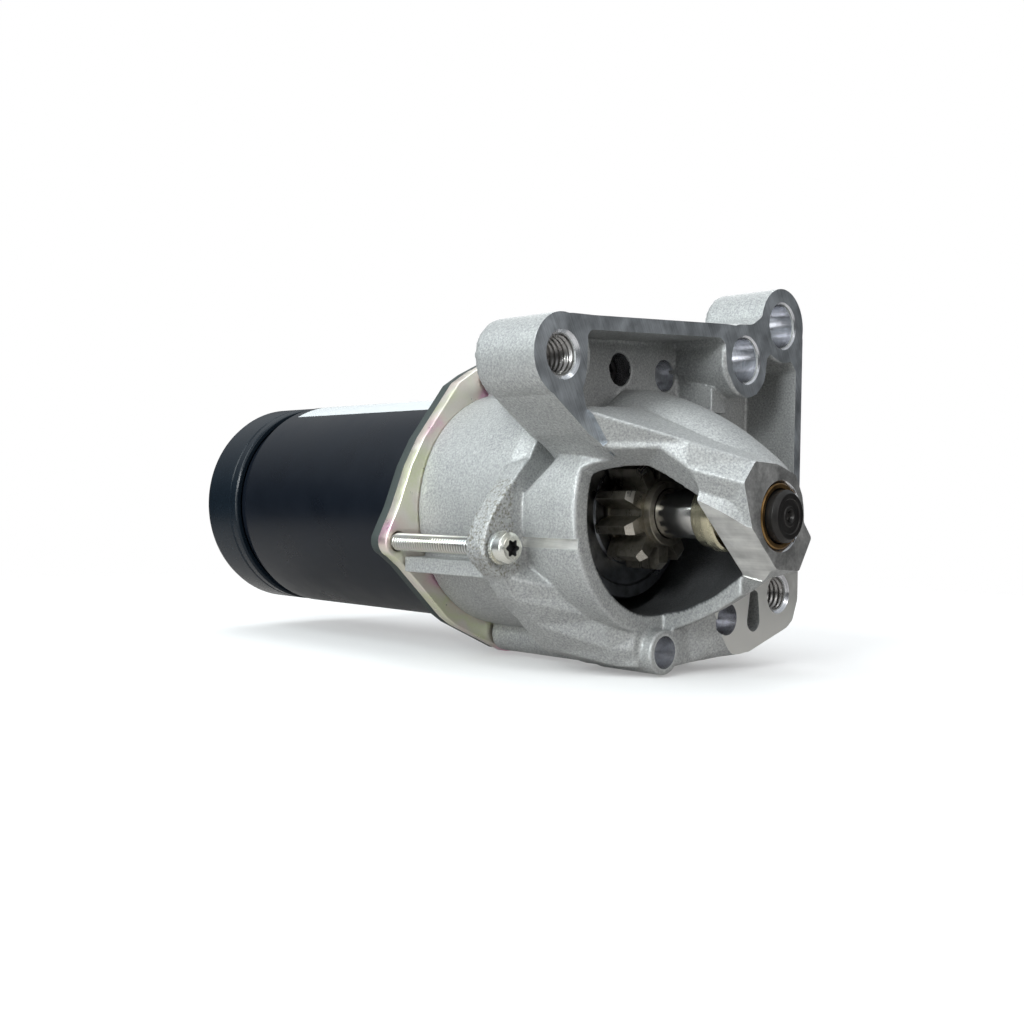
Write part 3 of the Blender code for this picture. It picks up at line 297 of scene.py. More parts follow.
CAST = cast_metal("cast_aluminium")
FACE = machined_metal("milled_face", (0.50, 0.53, 0.56), 0.38, (0.35, 60.0, 14.0), (0.0, 0.5, 0.0),
                      painted_pale_foot=True)
NOSE = machined_metal("nose_face", (0.40, 0.40, 0.395), 0.48, (0.7, 60.0, 0.7), scratch=0.1)
STRIP = machined_metal("strip_face", (0.74, 0.74, 0.72), 0.34, (0.35, 40.0, 9.0), (0.0, 0.7, 0.0))
BORE = machined_metal("bored_wall", (0.72, 0.73, 0.76), 0.18, (40.0, 0.35, 40.0))
THREAD = machined_metal("tapped_wall", (0.42, 0.41, 0.40), 0.28, (3.0, 3.0, 3.0))
PAINT = paint("black_paint", (0.004, 0.006, 0.010), 0.30)
CAP_PAINT = paint("cap_paint", (0.005, 0.009, 0.014), 0.26)
PLATE = plated("plate_zinc", (0.84, 0.81, 0.74), (
    (0.84, 0.48, 0.64), (0.80, 0.68, 0.62), (0.80, 0.75, 0.67), (0.74, 0.76, 0.52), (0.78, 0.70, 0.62)), 0.34)
SCREW_ZINC = plated("screw_zinc", (0.78, 0.78, 0.74), (
    (0.70, 0.72, 0.70), (0.78, 0.76, 0.66), (0.66, 0.70, 0.72)), 0.20)
COLLAR = turned_metal("collar_zinc", (0.62, 0.58, 0.42), 0.24)
STEEL = turned_metal("ground_steel", (0.62, 0.61, 0.59), 0.16, 0.2)
NOSE_STEEL = turned_metal("black_steel", (0.035, 0.033, 0.032), 0.38, 0.3, 0.8)
GEAR = turned_metal("gear_steel", (0.26, 0.24, 0.20), 0.34, 0.4, metallic=0.9, grime=(0.09, 0.08, 0.05))
GEAR_EDGE = turned_metal("gear_edge", (0.56, 0.53, 0.47), 0.30, 0.4)
CLUTCH = turned_metal("clutch_steel", (0.22, 0.23, 0.25), 0.34, 0.25, grime=(0.09, 0.09, 0.095))
BRONZE = turned_metal("bronze", (0.30, 0.18, 0.07), 0.32, 0.3, grime=(0.08, 0.045, 0.02))
COPPER = plain("copper", (0.66, 0.33, 0.19), 0.30, 0.8, 1.0)
SEAL = plain("seal", (0.030, 0.040, 0.038), 0.7, 0.6)
RUBBER = plain("rubber", (0.02, 0.02, 0.02), 0.55, 0.8)
PLASTIC = plain("black_plastic", (0.018, 0.018, 0.019), 0.42, 0.7, strength=0.2)
NYLON = plain("grey_nylon", (0.20, 0.20, 0.19), 0.5, 0.9)
FERRITE = plain("ferrite", (0.07, 0.07, 0.075), 0.6, 0.7)
CARBON = plain("brush_carbon", (0.06, 0.055, 0.05), 0.6, 0.5)
CORE = plain("laminated_steel", (0.22, 0.22, 0.23), 0.45, 0.5, 0.9)
PAPER = plain("label_paper", (0.55, 0.57, 0.58), 0.5, 2.0, strength=0.02, spread=0.04)

# finishes of the CAD nodes that are shown as they are, by how a name begins; the others are steel
NODE_FINISH = {
    "armature_core": CORE, "armature_winding": COPPER, "brush_holder": NYLON, "brush_spring": STEEL,
    "brush_": CARBON, "centre_bush": BRONZE, "commutator": COPPER, "magnet": FERRITE,
    "moving_contact": COPPER, "rear_bush": BRONZE, "ring_gear": NYLON, "solenoid_coil": COPPER}


# ---- Mesh tools: lengths in millimetres; a piece's mesh is in place, its object at the origin ----
def smoothed(mesh, degrees):
    """Shades a mesh smooth except over edges that turn by more than this."""
    mesh.shade_smooth()
    mesh.set_sharp_from_angle(angle=math.radians(degrees))


def linked(name, data):
    obj = bpy.data.objects.new(name, data)
    SCENE.collection.objects.link(obj)
    return obj


def piece(name, mesh, finish, body="housing", node=None, smooth=35):
    """Links a finished mesh and lets it ride; node is the CAD node it stands for."""
    mesh.name = name
    obj = linked(name, mesh)
    if finish:
        mesh.materials.append(finish)
    smoothed(mesh, smooth)
    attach(obj, body)
    if node:
        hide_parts(node)
    return obj


def mesh_from(bm, recalc=True):
    if recalc:
        bmesh.ops.recalc_face_normals(bm, faces=bm.faces[:])
    mesh = bpy.data.meshes.new("work")
    bm.to_mesh(mesh)
    bm.free()
    return mesh


def welded(mesh, gap):
    """A bmesh of a mesh, with points nearer than gap joined."""
    bm = bmesh.new()
    bm.from_mesh(mesh)
    bmesh.ops.remove_doubles(bm, verts=bm.verts[:], dist=gap)
    return bm


def polar(x, z, radius, angle):
    return x + radius * math.cos(angle), z + radius * math.sin(angle)


def new_vert(bm, x, y, z):
    return bm.verts.new((x * MM, y * MM, z * MM))


def new_ring(bm, x, y, z, radius, steps):
    """A ring of points about a line along Y."""
    ring = []
    for k in range(steps):
        px, pz = polar(x, z, radius, 2 * math.pi * k / steps)
        ring.append(new_vert(bm, px, y, pz))
    return ring


def skin(bm, rings):
    """Joins each ring of points to the next with quads."""
    for a, b in zip(rings, rings[1:]):
        for k in range(len(a)):
            n = (k + 1) % len(a)
            bm.faces.new((a[k], a[n], b[n], b[k]))


def rod(radius, y0, y1):
    """The profile of a plain round bar, for a lathe."""
    return [(0, y0), (radius, y0), (radius, y1), (0, y1)]


def fillet(points, radius, steps=4, closed=False):
    """Rounds the corners of a polyline; a third number on a point is its own radius."""
    result = []
    for i, point in enumerate(points):
        own = point[2] if len(point) > 2 else radius
        here = Vector(point[:2])
        if own <= 0 or (not closed and i in (0, len(points) - 1)):
            result.append(tuple(here))
            continue
        back = Vector(points[i - 1][:2]) - here
        ahead = Vector(points[(i + 1) % len(points)][:2]) - here
        half = back.angle(ahead) / 2
        if half > 1.52:
            result.append(tuple(here))
            continue
        run = min(own / math.tan(half), back.length * 0.48, ahead.length * 0.48)
        start, end = here + back.normalized() * run, here + ahead.normalized() * run
        for k in range(steps + 1):
            t = k / steps
            result.append(tuple(start * (1 - t) ** 2 + here * 2 * t * (1 - t) + end * t * t))
    return result


def add_lathe(bm, profile, x=0.0, z=0.0, steps=96, radius=0.0, closed=False):
    """A solid turned about Y from (radius, y) points, with corners rounded to a radius."""
    rings = []
    for r, y in fillet(profile, radius, closed=closed):
        rings.append([new_vert(bm, x, y, z)] if r < 1e-6 else new_ring(bm, x, y, z, r, steps))
    pairs = list(zip(rings, rings[1:])) + ([(rings[-1], rings[0])] if closed else [])
    for a, b in pairs:
        for k in range(steps):
            n = (k + 1) % steps
            corners = list(dict.fromkeys([a[k % len(a)], a[n % len(a)], b[n % len(b)], b[k % len(b)]]))
            if len(corners) > 2:
                bm.faces.new(corners)


def lathe(name, profile, finish, body="housing", node=None, **options):
    bm = bmesh.new()
    add_lathe(bm, profile, **options)
    return piece(name, mesh_from(bm), finish, body, node)


def add_thread(bm, radius, depth, pitch, y0, y1, x=0.0, z=0.0, wall=0.0, around=48, per_pitch=8):
    """A threaded rod, or with a wall thickness the thread inside a hole."""
    count = int((y1 - y0) / pitch * per_pitch)
    rings = []
    for i in range(count + 1):
        y = y0 + (y1 - y0) * i / count
        fade = min(1.0, (y - y0) / pitch, (y1 - y) / pitch)
        ring = []
        for k in range(around):
            phase = (y / pitch - k / around) % 1.0
            tooth = 1.0 - abs(2.0 * phase - 1.0)
            tooth = min(1.0, max(0.0, (tooth - 0.12) / 0.76))
            r = radius - depth * (1.0 - tooth * fade) if wall == 0.0 else radius - depth * tooth * fade
            px, pz = polar(x, z, r, 2 * math.pi * k / around)
            ring.append(new_vert(bm, px, y, pz))
        rings.append(ring)
    if wall:
        rings += [new_ring(bm, x, y, z, radius + wall, around) for y in (y1, y0)]
        rings.append(rings[0])
    skin(bm, rings)
    if not wall:
        bm.faces.new(rings[0][::-1])
        bm.faces.new(rings[-1])


def add_prism(bm, outline, y0, y1):
    """A straight prism along Y with the outline's points (x, z)."""
    low = [new_vert(bm, x, y0, z) for x, z in outline]
    high = [new_vert(bm, x, y1, z) for x, z in outline]
    bm.faces.new(low)
    bm.faces.new(high[::-1])
    for k in range(len(outline)):
        n = (k + 1) % len(outline)
        bm.faces.new((low[k], high[k], high[n], low[n]))


def circle(x, z, radius, steps=48):
    return [polar(x, z, radius, 2 * math.pi * k / steps) for k in range(steps)]


def arc(x, z, radius, start, end, steps):
    return [polar(x, z, radius, math.radians(start + (end - start) * k / steps)) for k in range(steps + 1)]


def plate_mesh(outlines, y0, y1, edge):
    """A flat plate with holes and rounded edges, from closed outlines."""
    curve = bpy.data.curves.new("plate", "CURVE")
    curve.dimensions = "2D"
    curve.fill_mode = "BOTH"
    curve.extrude = (abs(y1 - y0) / 2 - edge) * MM
    curve.bevel_depth = edge * MM
    curve.bevel_resolution = 2
    curve.offset = -edge * MM
    for outline in outlines:
        spline = curve.splines.new("POLY")
        spline.points.add(len(outline) - 1)
        spline.use_cyclic_u = True
        for point, (x, z) in zip(spline.points, outline):
            point.co = (x * MM, z * MM, 0.0, 1.0)
    obj = linked("plate", curve)
    obj.matrix_world = Matrix.Translation((0, (y0 + y1) / 2 * MM, 0)) @ Matrix.Rotation(math.pi / 2, 4, "X")
    bpy.context.view_layer.update()
    mesh = bpy.data.meshes.new_from_object(obj.evaluated_get(bpy.context.evaluated_depsgraph_get()))
    mesh.transform(obj.matrix_world)
    bpy.data.objects.remove(obj)
    mesh.materials.clear()
    return mesh_from(welded(mesh, 0.00001))


def apply(obj):
    """Bakes an object's modifiers into its mesh."""
    bpy.context.view_layer.update()
    graph = bpy.context.evaluated_depsgraph_get()
    mesh = bpy.data.meshes.new_from_object(obj.evaluated_get(graph), depsgraph=graph)
    obj.modifiers.clear()
    obj.data = mesh


def taken(obj):
    """Removes a worked object and gives back its mesh."""
    mesh = obj.data
    bpy.data.objects.remove(obj)
    return mesh


def scratch(mesh, finish=None):
    """A mesh to be worked on; its object is not a piece."""
    if finish:
        mesh.materials.append(finish)
    return linked("work", mesh)


def boolean(obj, tool, operation="DIFFERENCE"):
    """Cuts or joins with a tool, whose finish goes on the new faces."""
    step = obj.modifiers.new("cut", "BOOLEAN")
    step.operation = operation
    step.solver = "MANIFOLD"
    step.object = tool
    step.material_mode = "TRANSFER"
    apply(obj)
    bpy.data.objects.remove(tool)


# ---- The casting: the CAD solid with cast fillets, then machined faces and bores ----
VOXEL = 0.5
DOME = np.array([   # y, radius of the bell and dome
    (66.0, 34.2), (32.0, 34.2), (28.0, 33.2), (15.0, 32.9), (9.5, 32.5), (5.0, 31.2), (0.0, 29.5),
    (-5.0, 27.4), (-10.0, 25.0), (-15.0, 22.2), (-20.0, 19.0), (-25.0, 15.6), (-28.9, 12.4)])[::-1]
CAVITY = np.array([
    (66.0, 30.5), (33.0, 30.5), (31.0, 28.4), (20.0, 28.0), (9.5, 27.4), (1.0, 25.6), (-9.0, 21.2),
    (-16.5, 16.2), (-18.0, 14.9)])[::-1]
STRIP_EDGE = ((-12.1, -3.0), (-1.3, -12.95))       # the milled strip under the nose, seen from the front


def cad_faces(node, wanted):
    """The faces of a CAD node that pass a test, welded, as a bmesh."""
    bm = welded(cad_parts[node].data, 0.000001)
    bm.normal_update()
    rest = [f for f in bm.faces if not wanted(f.calc_center_median() / MM, f.normal)]
    bmesh.ops.delete(bm, geom=rest, context="FACES")
    return bm


def swell(bm, direction, low, high, grow=0.0):
    """Turns a flat patch into a closed prism from low to high along direction."""
    bm.normal_update()
    if grow:
        shifts = {}
        for edge in bm.edges:
            if len(edge.link_faces) != 1:
                continue
            face = edge.link_faces[0]
            along = edge.verts[1].co - edge.verts[0].co
            out = along.cross(face.normal).normalized()
            middle = (edge.verts[0].co + edge.verts[1].co) / 2
            if out.dot(middle - face.calc_center_median()) < 0:
                out = -out
            for vert in edge.verts:
                shifts.setdefault(vert, []).append(out)
        for vert, outs in shifts.items():
            total = sum(outs, Vector())
            if total.length > 0.2:
                vert.co += total.normalized() * grow * MM
    shift = Vector(direction)
    for vert in bm.verts:
        vert.co += shift * low * MM
    made = bmesh.ops.extrude_face_region(bm, geom=bm.faces[:], use_keep_orig=True)
    for item in made["geom"]:
        if isinstance(item, bmesh.types.BMVert):
            item.co += shift * (high - low) * MM
    return mesh_from(bm)


def flat_patches():
    """The casting's milled faces: what picks them, which way they look, and their finish."""
    strip = Vector((STRIP_EDGE[1][0] - STRIP_EDGE[0][0], 0, STRIP_EDGE[1][1] - STRIP_EDGE[0][1])).normalized()
    out = Vector((strip.z, 0, -strip.x))
    foot = Vector((STRIP_EDGE[0][0], 0, STRIP_EDGE[0][1]))

    def on_strip(c, n):
        return abs((c - foot).dot(out)) < 0.05 and n.dot(out) > 0.99 and c.y < -17.0

    return [
        (lambda c, n: abs(c.y) < 0.02 and n.y < -0.99, (0, -1, 0), FACE),
        (lambda c, n: abs(c.y + 30.0) < 0.02 and n.y < -0.99, (0, -1, 0), NOSE),
        (on_strip, tuple(out), STRIP)]


def smooth_radius(table, y):
    """The radius at y from a table of (y, radius), with its corners rounded."""
    fine = np.arange(table[0, 0] - 3.0, table[-1, 0] + 3.0, 0.25)
    radius = np.interp(fine, table[:, 0], table[:, 1])
    kernel = np.hanning(13) / np.hanning(13).sum()
    radius[6:-6] = np.convolve(radius, kernel, "valid")
    return np.interp(y, fine, radius)


def read(items, name, kind=float, width=1):
    """One property of every vertex, edge, loop or polygon, as an array."""
    values = np.empty(len(items) * width, dtype=kind)
    items.foreach_get(name, values)
    return values.reshape(-1, width) if width > 1 else values


def round_off(mesh):
    """Moves the remeshed facets on to the true round surfaces."""
    co = read(mesh.vertices, "co", width=3) / MM

    def snap(x, z, radius, mask, reach=0.4):
        dx, dz = co[:, 0] - x, co[:, 2] - z
        r = np.hypot(dx, dz)
        off = radius - r
        weight = np.clip(1.0 - (np.abs(off) / reach) ** 4, 0.0, 1.0) * mask
        scale = 1.0 + weight * off / np.maximum(r, 1.0)
        co[:, 0], co[:, 2] = x + dx * scale, z + dz * scale

    y = co[:, 1]
    snap(0, 0, smooth_radius(DOME, y), (y > -27.5) & (y < 66.0))
    snap(0, 0, smooth_radius(CAVITY, y), (y > -17.0) & (y < 66.0))
    for (x, z, _), radius in ((HOLE_A, 10.0), (HOLE_C, 10.6), (HOLE_D, 10.3)):
        snap(x, z, radius, (y > -1.5) & (y < 19.0), 0.3)
    for x, z in PLATE_SCREWS[1:]:
        snap(x, z, 5.2, (y > 34.0) & (y < 65.0), 0.3)
    snap(*PLATE_SCREWS[2], SCREW_PAD_R, (y > 4.5) & (y < 25.0), 0.3)
    sx, sz = toward_solenoid(SOLENOID_OFFSET)
    snap(sx, sz, 25.5, (y > 36.5) & (y < 43.5))
    mesh.vertices.foreach_set("co", (co * MM).ravel())


def edge_values(mesh):
    """Per-vertex values that the casting's material reads: convex edges (rubbed wear and painted highlight),
    painted shade in concave creases and inside the cavity, and the coarse patch.
    """
    count = len(mesh.vertices)
    co = read(mesh.vertices, "co", width=3)
    normals = read(mesh.vertex_normals, "vector", width=3)
    a, b = read(mesh.edges, "vertices", np.int64, 2).T
    degree = np.maximum(np.bincount(a, minlength=count) + np.bincount(b, minlength=count), 1)

    def spread(values):
        total = np.bincount(a, values[b], count) + np.bincount(b, values[a], count)
        return total / degree

    lap = np.stack([spread(co[:, k]) for k in range(3)], 1) - co
    bend = -(lap * normals).sum(1) / MM / VOXEL ** 2      # 1/mm, positive on a convex edge
    for _ in range(2):
        bend = 0.5 * bend + 0.5 * spread(bend)
    x, y, z = (co / MM).T
    r = np.hypot(x, z)
    lug_edge = (np.abs(y - 29.8) < 3.4) & (r > 36.0) & (x < -30.0) & (z < 8.0) & (z > -17.0)
    coarse = lug_edge.astype(float)
    flank = -0.593 * x + 0.805 * z - np.maximum(26.5 - y, 0.0) * 0.65      # flat side of the bell
    # painted shade: marks the inside of the cavity, which the casting's material darkens
    inside = (r < smooth_radius(CAVITY, y) + 0.5) & (y > -19.0) & ((flank < 21.4) | (y > 30.0))
    for _ in range(3):
        coarse = 0.5 * coarse + 0.5 * spread(coarse)
    # edge: convex edges, paler as rubbed wear and as a painted highlight
    values = {"edge": np.clip(bend * 2.2 - 0.15, 0, 1), "crease_shade": np.clip(-bend * 2.0 - 0.1, 0, 1),
              "coarse": coarse, "inner": inside.astype(float)}
    for name, data in values.items():
        mesh.attributes.new(name, "FLOAT", "POINT").data.foreach_set("value", data.astype(np.float32))


def bore_cutters():
    """Every bore of the casting as one set of turned cutters."""
    bm = bmesh.new()
    for (x, z, r), mouth in ((HOLE_A, 1.0), (HOLE_C, 0.6), (HOLE_D, 0.6), (HOLE_E, 1.0)):
        flare = r + mouth + 0.5
        add_lathe(bm, [(0, 25.0), (r, 25.0), (r, mouth), (flare, -0.5), (flare, -4.0), (0, -4.0)],
                  x=x, z=z)
    x, z, r = BORE_G      # a blind hole, so its end is a drill's cone
    add_lathe(bm, [(0, 16.0), (3.2, 14.8), (r, 14.0), (r, -3.0), (0, -3.0)], x=x, z=z, radius=0.2)
    x, z, r = POCKET_HOLE
    add_lathe(bm, [(0, 28.5), (r, 27.0), (r, 8.0), (0, 8.0)], x=x, z=z)
    r = BUSH_BORE_R
    add_lathe(bm, [(0, -17.0), (r, -17.0), (r, -29.5), (9.0, -30.2), (9.0, -34.0), (0, -34.0)])
    for (x, z), mouth in zip(PLATE_SCREWS, (20.0, 12.0, -4.0)):
        profile = rod(SCREW_BORE_R, 68.0, mouth)
        if mouth < 20.0:      # the two sunk screws have a wider bore for the head
            profile[2:] = [(SCREW_BORE_R, SCREW_SEAT_Y), (SCREW_HEAD_BORE_R, SCREW_SEAT_Y),
                           (SCREW_HEAD_BORE_R, mouth), (0, mouth)]
        add_lathe(bm, profile, x=x, z=z, steps=48)
    return mesh_from(bm)


def parting_strip():
    """Cutter for the bright band that is dressed along the bell's side."""
    bm = bmesh.new()
    corners = [new_vert(bm, x, y, z) for z in (-9.3, -6.7)
               for x, y in ((-30.7, 7.5), (-31.7, 26.3), (-40.0, 26.3), (-40.0, 7.5))]
    for loop in ((0, 1, 2, 3), (7, 6, 5, 4), (0, 4, 5, 1), (1, 5, 6, 2), (2, 6, 7, 3), (3, 7, 4, 0)):
        bm.faces.new([corners[i] for i in loop])
    return mesh_from(bm)


def flatten_milled(mesh, slots):
    """Milled polygons shade flat, and every edge where two finishes meet is sharp."""
    slot = read(mesh.polygons, "material_index", np.int64)
    mesh.polygons.foreach_set("use_smooth", ~np.isin(slot, slots))
    loop_edges = read(mesh.loops, "edge_index", np.int64)
    loop_slots = np.repeat(slot, read(mesh.polygons, "loop_total", np.int64))
    low = np.full(len(mesh.edges), 99)
    high = np.full(len(mesh.edges), -1)
    np.minimum.at(low, loop_edges, loop_slots)
    np.maximum.at(high, loop_edges, loop_slots)
    sharp = read(mesh.edges, "use_edge_sharp", bool)
    mesh.edges.foreach_set("use_edge_sharp", sharp | (low != high))


def casting():
    """The drive end housing, as one casting with machined faces and bores."""
    raw = welded(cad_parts["drive_end_housing"].data, 0.000001)
    patches = flat_patches()
    for wanted, out, _ in patches:
        extra = swell(cad_faces("drive_end_housing", wanted), out, -1.0, 1.1)
        raw.from_mesh(extra)
        bpy.data.meshes.remove(extra)
    pad_x, pad_z = PLATE_SCREWS[2]
    add_lathe(raw, rod(SCREW_PAD_R, 25.0, 4.9), x=pad_x, z=pad_z, radius=0.3)
    body = scratch(mesh_from(raw, recalc=False))
    grid = body.modifiers.new("grid", "REMESH")
    grid.mode = "VOXEL"
    grid.voxel_size = VOXEL * MM
    apply(body)
    round_off(body.data)
    soften = body.modifiers.new("soften", "SMOOTH")
    soften.factor = 0.5
    soften.iterations = 4
    apply(body)
    body.data.materials.clear()
    body.data.materials.append(CAST)
    for wanted, out, finish in patches:
        cutter = swell(cad_faces("drive_end_housing", wanted), out, 0.0, 3.0, grow=0.5)
        boolean(body, scratch(cutter, finish))
    boolean(body, scratch(bore_cutters(), BORE))
    boolean(body, scratch(parting_strip(), STRIP))
    mesh = taken(body)
    edge_values(mesh)
    mesh.name = "cast_housing"
    obj = linked("cast_housing", mesh)
    smoothed(mesh, 38)
    flatten_milled(mesh, [i for i, m in enumerate(mesh.materials) if m in (FACE, NOSE, STRIP)])
    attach(obj, "housing")
    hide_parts("drive_end_housing")


casting()


# ---- The other pieces ----
def refined(node, finish, width):
    """A CAD node's own shape with softened edges."""
    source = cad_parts[node]
    bm = bmesh.new()
    bm.from_mesh(source.data)
    bm.transform(source.matrix_world)
    bmesh.ops.remove_doubles(bm, verts=bm.verts[:], dist=0.000002)
    bmesh.ops.dissolve_limit(bm, angle_limit=math.radians(0.5), verts=bm.verts[:], edges=bm.edges[:])
    obj = scratch(mesh_from(bm))
    soften = obj.modifiers.new("soften", "BEVEL")
    soften.width = width * MM
    soften.segments = 2
    soften.limit_method = "ANGLE"
    soften.angle_limit = math.radians(28)
    apply(obj)
    piece(node + "_detail", taken(obj), finish, "housing", node, 30)


def body_lathe(profile, finish, **options):
    """A turned body to be worked on further."""
    bm = bmesh.new()
    add_lathe(bm, profile, **options)
    return scratch(mesh_from(bm), finish)


def body_prism(outline, y0, y1, finish):
    """A straight body to be worked on further."""
    bm = bmesh.new()
    add_prism(bm, outline, y0, y1)
    return scratch(mesh_from(bm), finish)


def settle(obj, name, body, node, smooth):
    """Turns a worked object into a finished piece."""
    piece(name, taken(obj), None, body, node, smooth)


def hexagon(name, x, z, across, y0, y1, finish, node, bore=0.0):
    """A hexagon nut or bolt head, chamfered at both ends."""
    obj = body_prism(circle(x, z, across, 6), y0, y1, finish)
    rim = across * 0.885
    wide, chamfer = across + 0.1, across * 0.09
    keep = body_lathe([(0, y0), (rim, y0), (wide, y0 + chamfer), (wide, y1 - chamfer), (rim, y1), (0, y1)],
                      finish, x=x, z=z)
    boolean(obj, keep, "INTERSECT")
    if bore:
        boolean(obj, body_lathe(rod(bore, y0 - 1, y1 + 1), finish, x=x, z=z))
    settle(obj, name, "housing", node, 25)


def motor_tube():
    """The steel tube round the magnets, necked at its back edge."""
    lathe("tube_shell", [
        (31.0, 74.3), (TUBE_R, 74.3), (TUBE_R, 154.9), (33.2, 156.0), (32.0, 156.8), (31.5, 157.6),
        (31.5, 160.6), (31.0, 160.6)], PAINT, node="motor_tube", steps=176, radius=0.35, closed=True)


def blank_label():
    """A thin plain sheet on the top of the tube."""
    bm = bmesh.new()
    across, along = 40, 24
    near, far = 83.0, 150.0
    edge = arc(0.0, 0.0, TUBE_R + 0.045, 119.5, 58.0, across)
    grid = [[new_vert(bm, x, near + (far - near) * i / along, z) for x, z in edge] for i in range(along + 1)]
    for a, b in zip(grid, grid[1:]):
        for k in range(across):
            bm.faces.new((a[k], a[k + 1], b[k + 1], b[k]))
    sheet = scratch(mesh_from(bm))
    solid = sheet.modifiers.new("thick", "SOLIDIFY")
    solid.thickness = 0.06 * MM
    solid.offset = 0.0
    apply(sheet)
    piece("blank_label", taken(sheet), PAPER)


def rear_cap():
    """The pressed cap, with the two long bolts that clamp the motor together."""
    cap = body_lathe([
        (0, 180.9), (27.0, 180.9), (27.6, 181.3), (29.4, 181.3), (31.4, 180.7), (32.9, 179.4), (33.6, 177.4),
        (33.6, 165.2), (33.3, 164.5), (33.6, 163.8), (33.6, 161.5), (33.0, 160.9), (31.4, 160.9),
        (31.4, 175.6), (10.5, 175.6), (10.5, 166.0), (6.4, 166.0), (6.4, 177.6), (0, 177.6)],
        CAP_PAINT, steps=176, radius=0.5)
    for index, (x, z) in enumerate(BOLT_PLACES, 1):
        boolean(cap, body_lathe(rod(5.2, 178.2, 183.0), CAP_PAINT, x=x, z=z, steps=48))
        lathe("bolt_shank_%d" % index, [(0, 66.6), (1.6, 66.6), (2.45, 67.6), (2.45, 179.0), (0, 179.0)],
              SCREW_ZINC, node="through_bolt_%d" % index, x=x, z=z, steps=32, radius=0.3)
        hexagon("bolt_head_%d" % index, x, z, 4.5, 178.5, 181.9, SCREW_ZINC, None)
    settle(cap, "cap_shell", "housing", "rear_cap", 50)


def plate_outline(inset=0.0):
    """The plate's edge; the seal's is the same, drawn in a little."""
    outline = [(-13.4, 40.0, 2.0), (-19.3, 36.3, 3.0), (-32.1, 19.8), (-36.5, 11.9), (-41.0, 0.2),
               (-43.9, -5.4)]
    outline += [(x, z, 0) for x, z in arc(*PLATE_SCREWS[0], 4.4, 162, 248, 12)]
    outline += [(-38.2, -16.6, 2.0), (-22.3, -31.5), (-18.6, -33.9, 3.0), (1.5, -42.8, 2.0),
                (4.5, -43.0, 2.0), (13.0, -33.0, 2.0)]
    outline += [(x, z, 0) for x, z in arc(0, 0, 34.6, -60, 76, 64)]
    outline += [(2.0, 43.0, 2.0), (-6.0, 43.6, 3.0)]
    points = fillet(outline, 3.0, 5, closed=True)
    return [(x * (1 - inset / math.hypot(x, z)), z * (1 - inset / math.hypot(x, z))) for x, z in points]


def plate_and_seal():
    """The zinc-plated steel plate and the rubber seal behind it."""
    screws = [circle(x, z, SCREW_BORE_R, 32) for x, z in PLATE_SCREWS]
    bolts = [circle(x, z, SCREW_BORE_R, 32) for x, z in BOLT_PLACES]
    outlines = [plate_outline(), circle(0, 0, 11.0, 64)] + screws + bolts
    piece("steel_plate", plate_mesh(outlines, *PLATE_Y, 0.35), PLATE, "housing", "mounting_plate", 50)
    outlines = [plate_outline(0.6), circle(0, 0, 30.6, 96)] + screws
    piece("rubber_seal", plate_mesh(outlines, *SEAL_Y, 0.5), SEAL, "housing", "plate_seal", 50)


def star(x, z, outer, inner, lobes=6, steps=8):
    """A six-lobed driving socket."""
    points = []
    for k in range(lobes * steps):
        a = 2 * math.pi * k / (lobes * steps)
        points.append(polar(x, z, (outer + inner) / 2 + (outer - inner) / 2 * math.cos(lobes * a), a))
    return points


def serrated(x, z, outer, inner, teeth):
    """The toothed edge of a lock washer."""
    points = []
    for k in range(teeth):
        for share, r in ((0.0, inner), (0.3, outer), (0.7, outer)):
            points.append(polar(x, z, r, 2 * math.pi * (k + share) / teeth))
    return points


def mark_grooves(mesh, x, z, crest, root, start):
    """Stores how deep each point of a thread lies, which its plating shows as painted shade in the grooves.
    """
    values = []
    for vert in mesh.vertices:
        r = math.hypot(vert.co.x / MM - x, vert.co.z / MM - z)
        depth = (crest - r) / (crest - root) if vert.co.y / MM > start and r > root - 0.3 else 0.0
        values.append(min(1.0, max(0.0, depth)))
    mesh.attributes.new("groove_shade", "FLOAT", "POINT").data.foreach_set("value", values)


def plate_screws():
    """The three flange screws: head with a six-lobed socket, washer, and threaded shank."""
    for index, (x, z) in enumerate(PLATE_SCREWS, 1):
        name = "plate_screw_%d" % index
        head = body_lathe([(0, 21.5), (3.2, 21.5), (4.0, 22.4), (4.0, 25.2), (0, 25.2)], SCREW_ZINC,
                          x=x, z=z, radius=0.35, steps=64)
        boolean(head, body_prism(star(x, z, 2.35, 1.65), 20.5, 23.6, RUBBER))
        if index == 2:
            head.data.materials[0] = NOSE_STEEL      # painted shade: a dark black-steel finish for a head that sits unlit down its counterbore
        settle(head, name + "_head", "housing", name, 30)
        bm = bmesh.new()
        rim = 4.4 if index == 1 else 4.1
        add_prism(bm, serrated(x, z, rim, rim - 0.3, 26), 25.2, 26.1)
        add_lathe(bm, rod(2.45, 26.0, 34.4), x=x, z=z, steps=32)
        add_thread(bm, 2.45, 0.5, 1.0, 34.0, 75.2, x, z, around=32, per_pitch=6)
        add_lathe(bm, [(0, 75.0), (2.0, 75.0), (1.5, 75.8), (0, 76.0)], x=x, z=z, radius=0.2, steps=32)
        shank = piece(name + "_shank", mesh_from(bm, recalc=False), SCREW_ZINC, "housing", None, 60)
        mark_grooves(shank.data, x, z, 2.40, 2.05, 34.0)


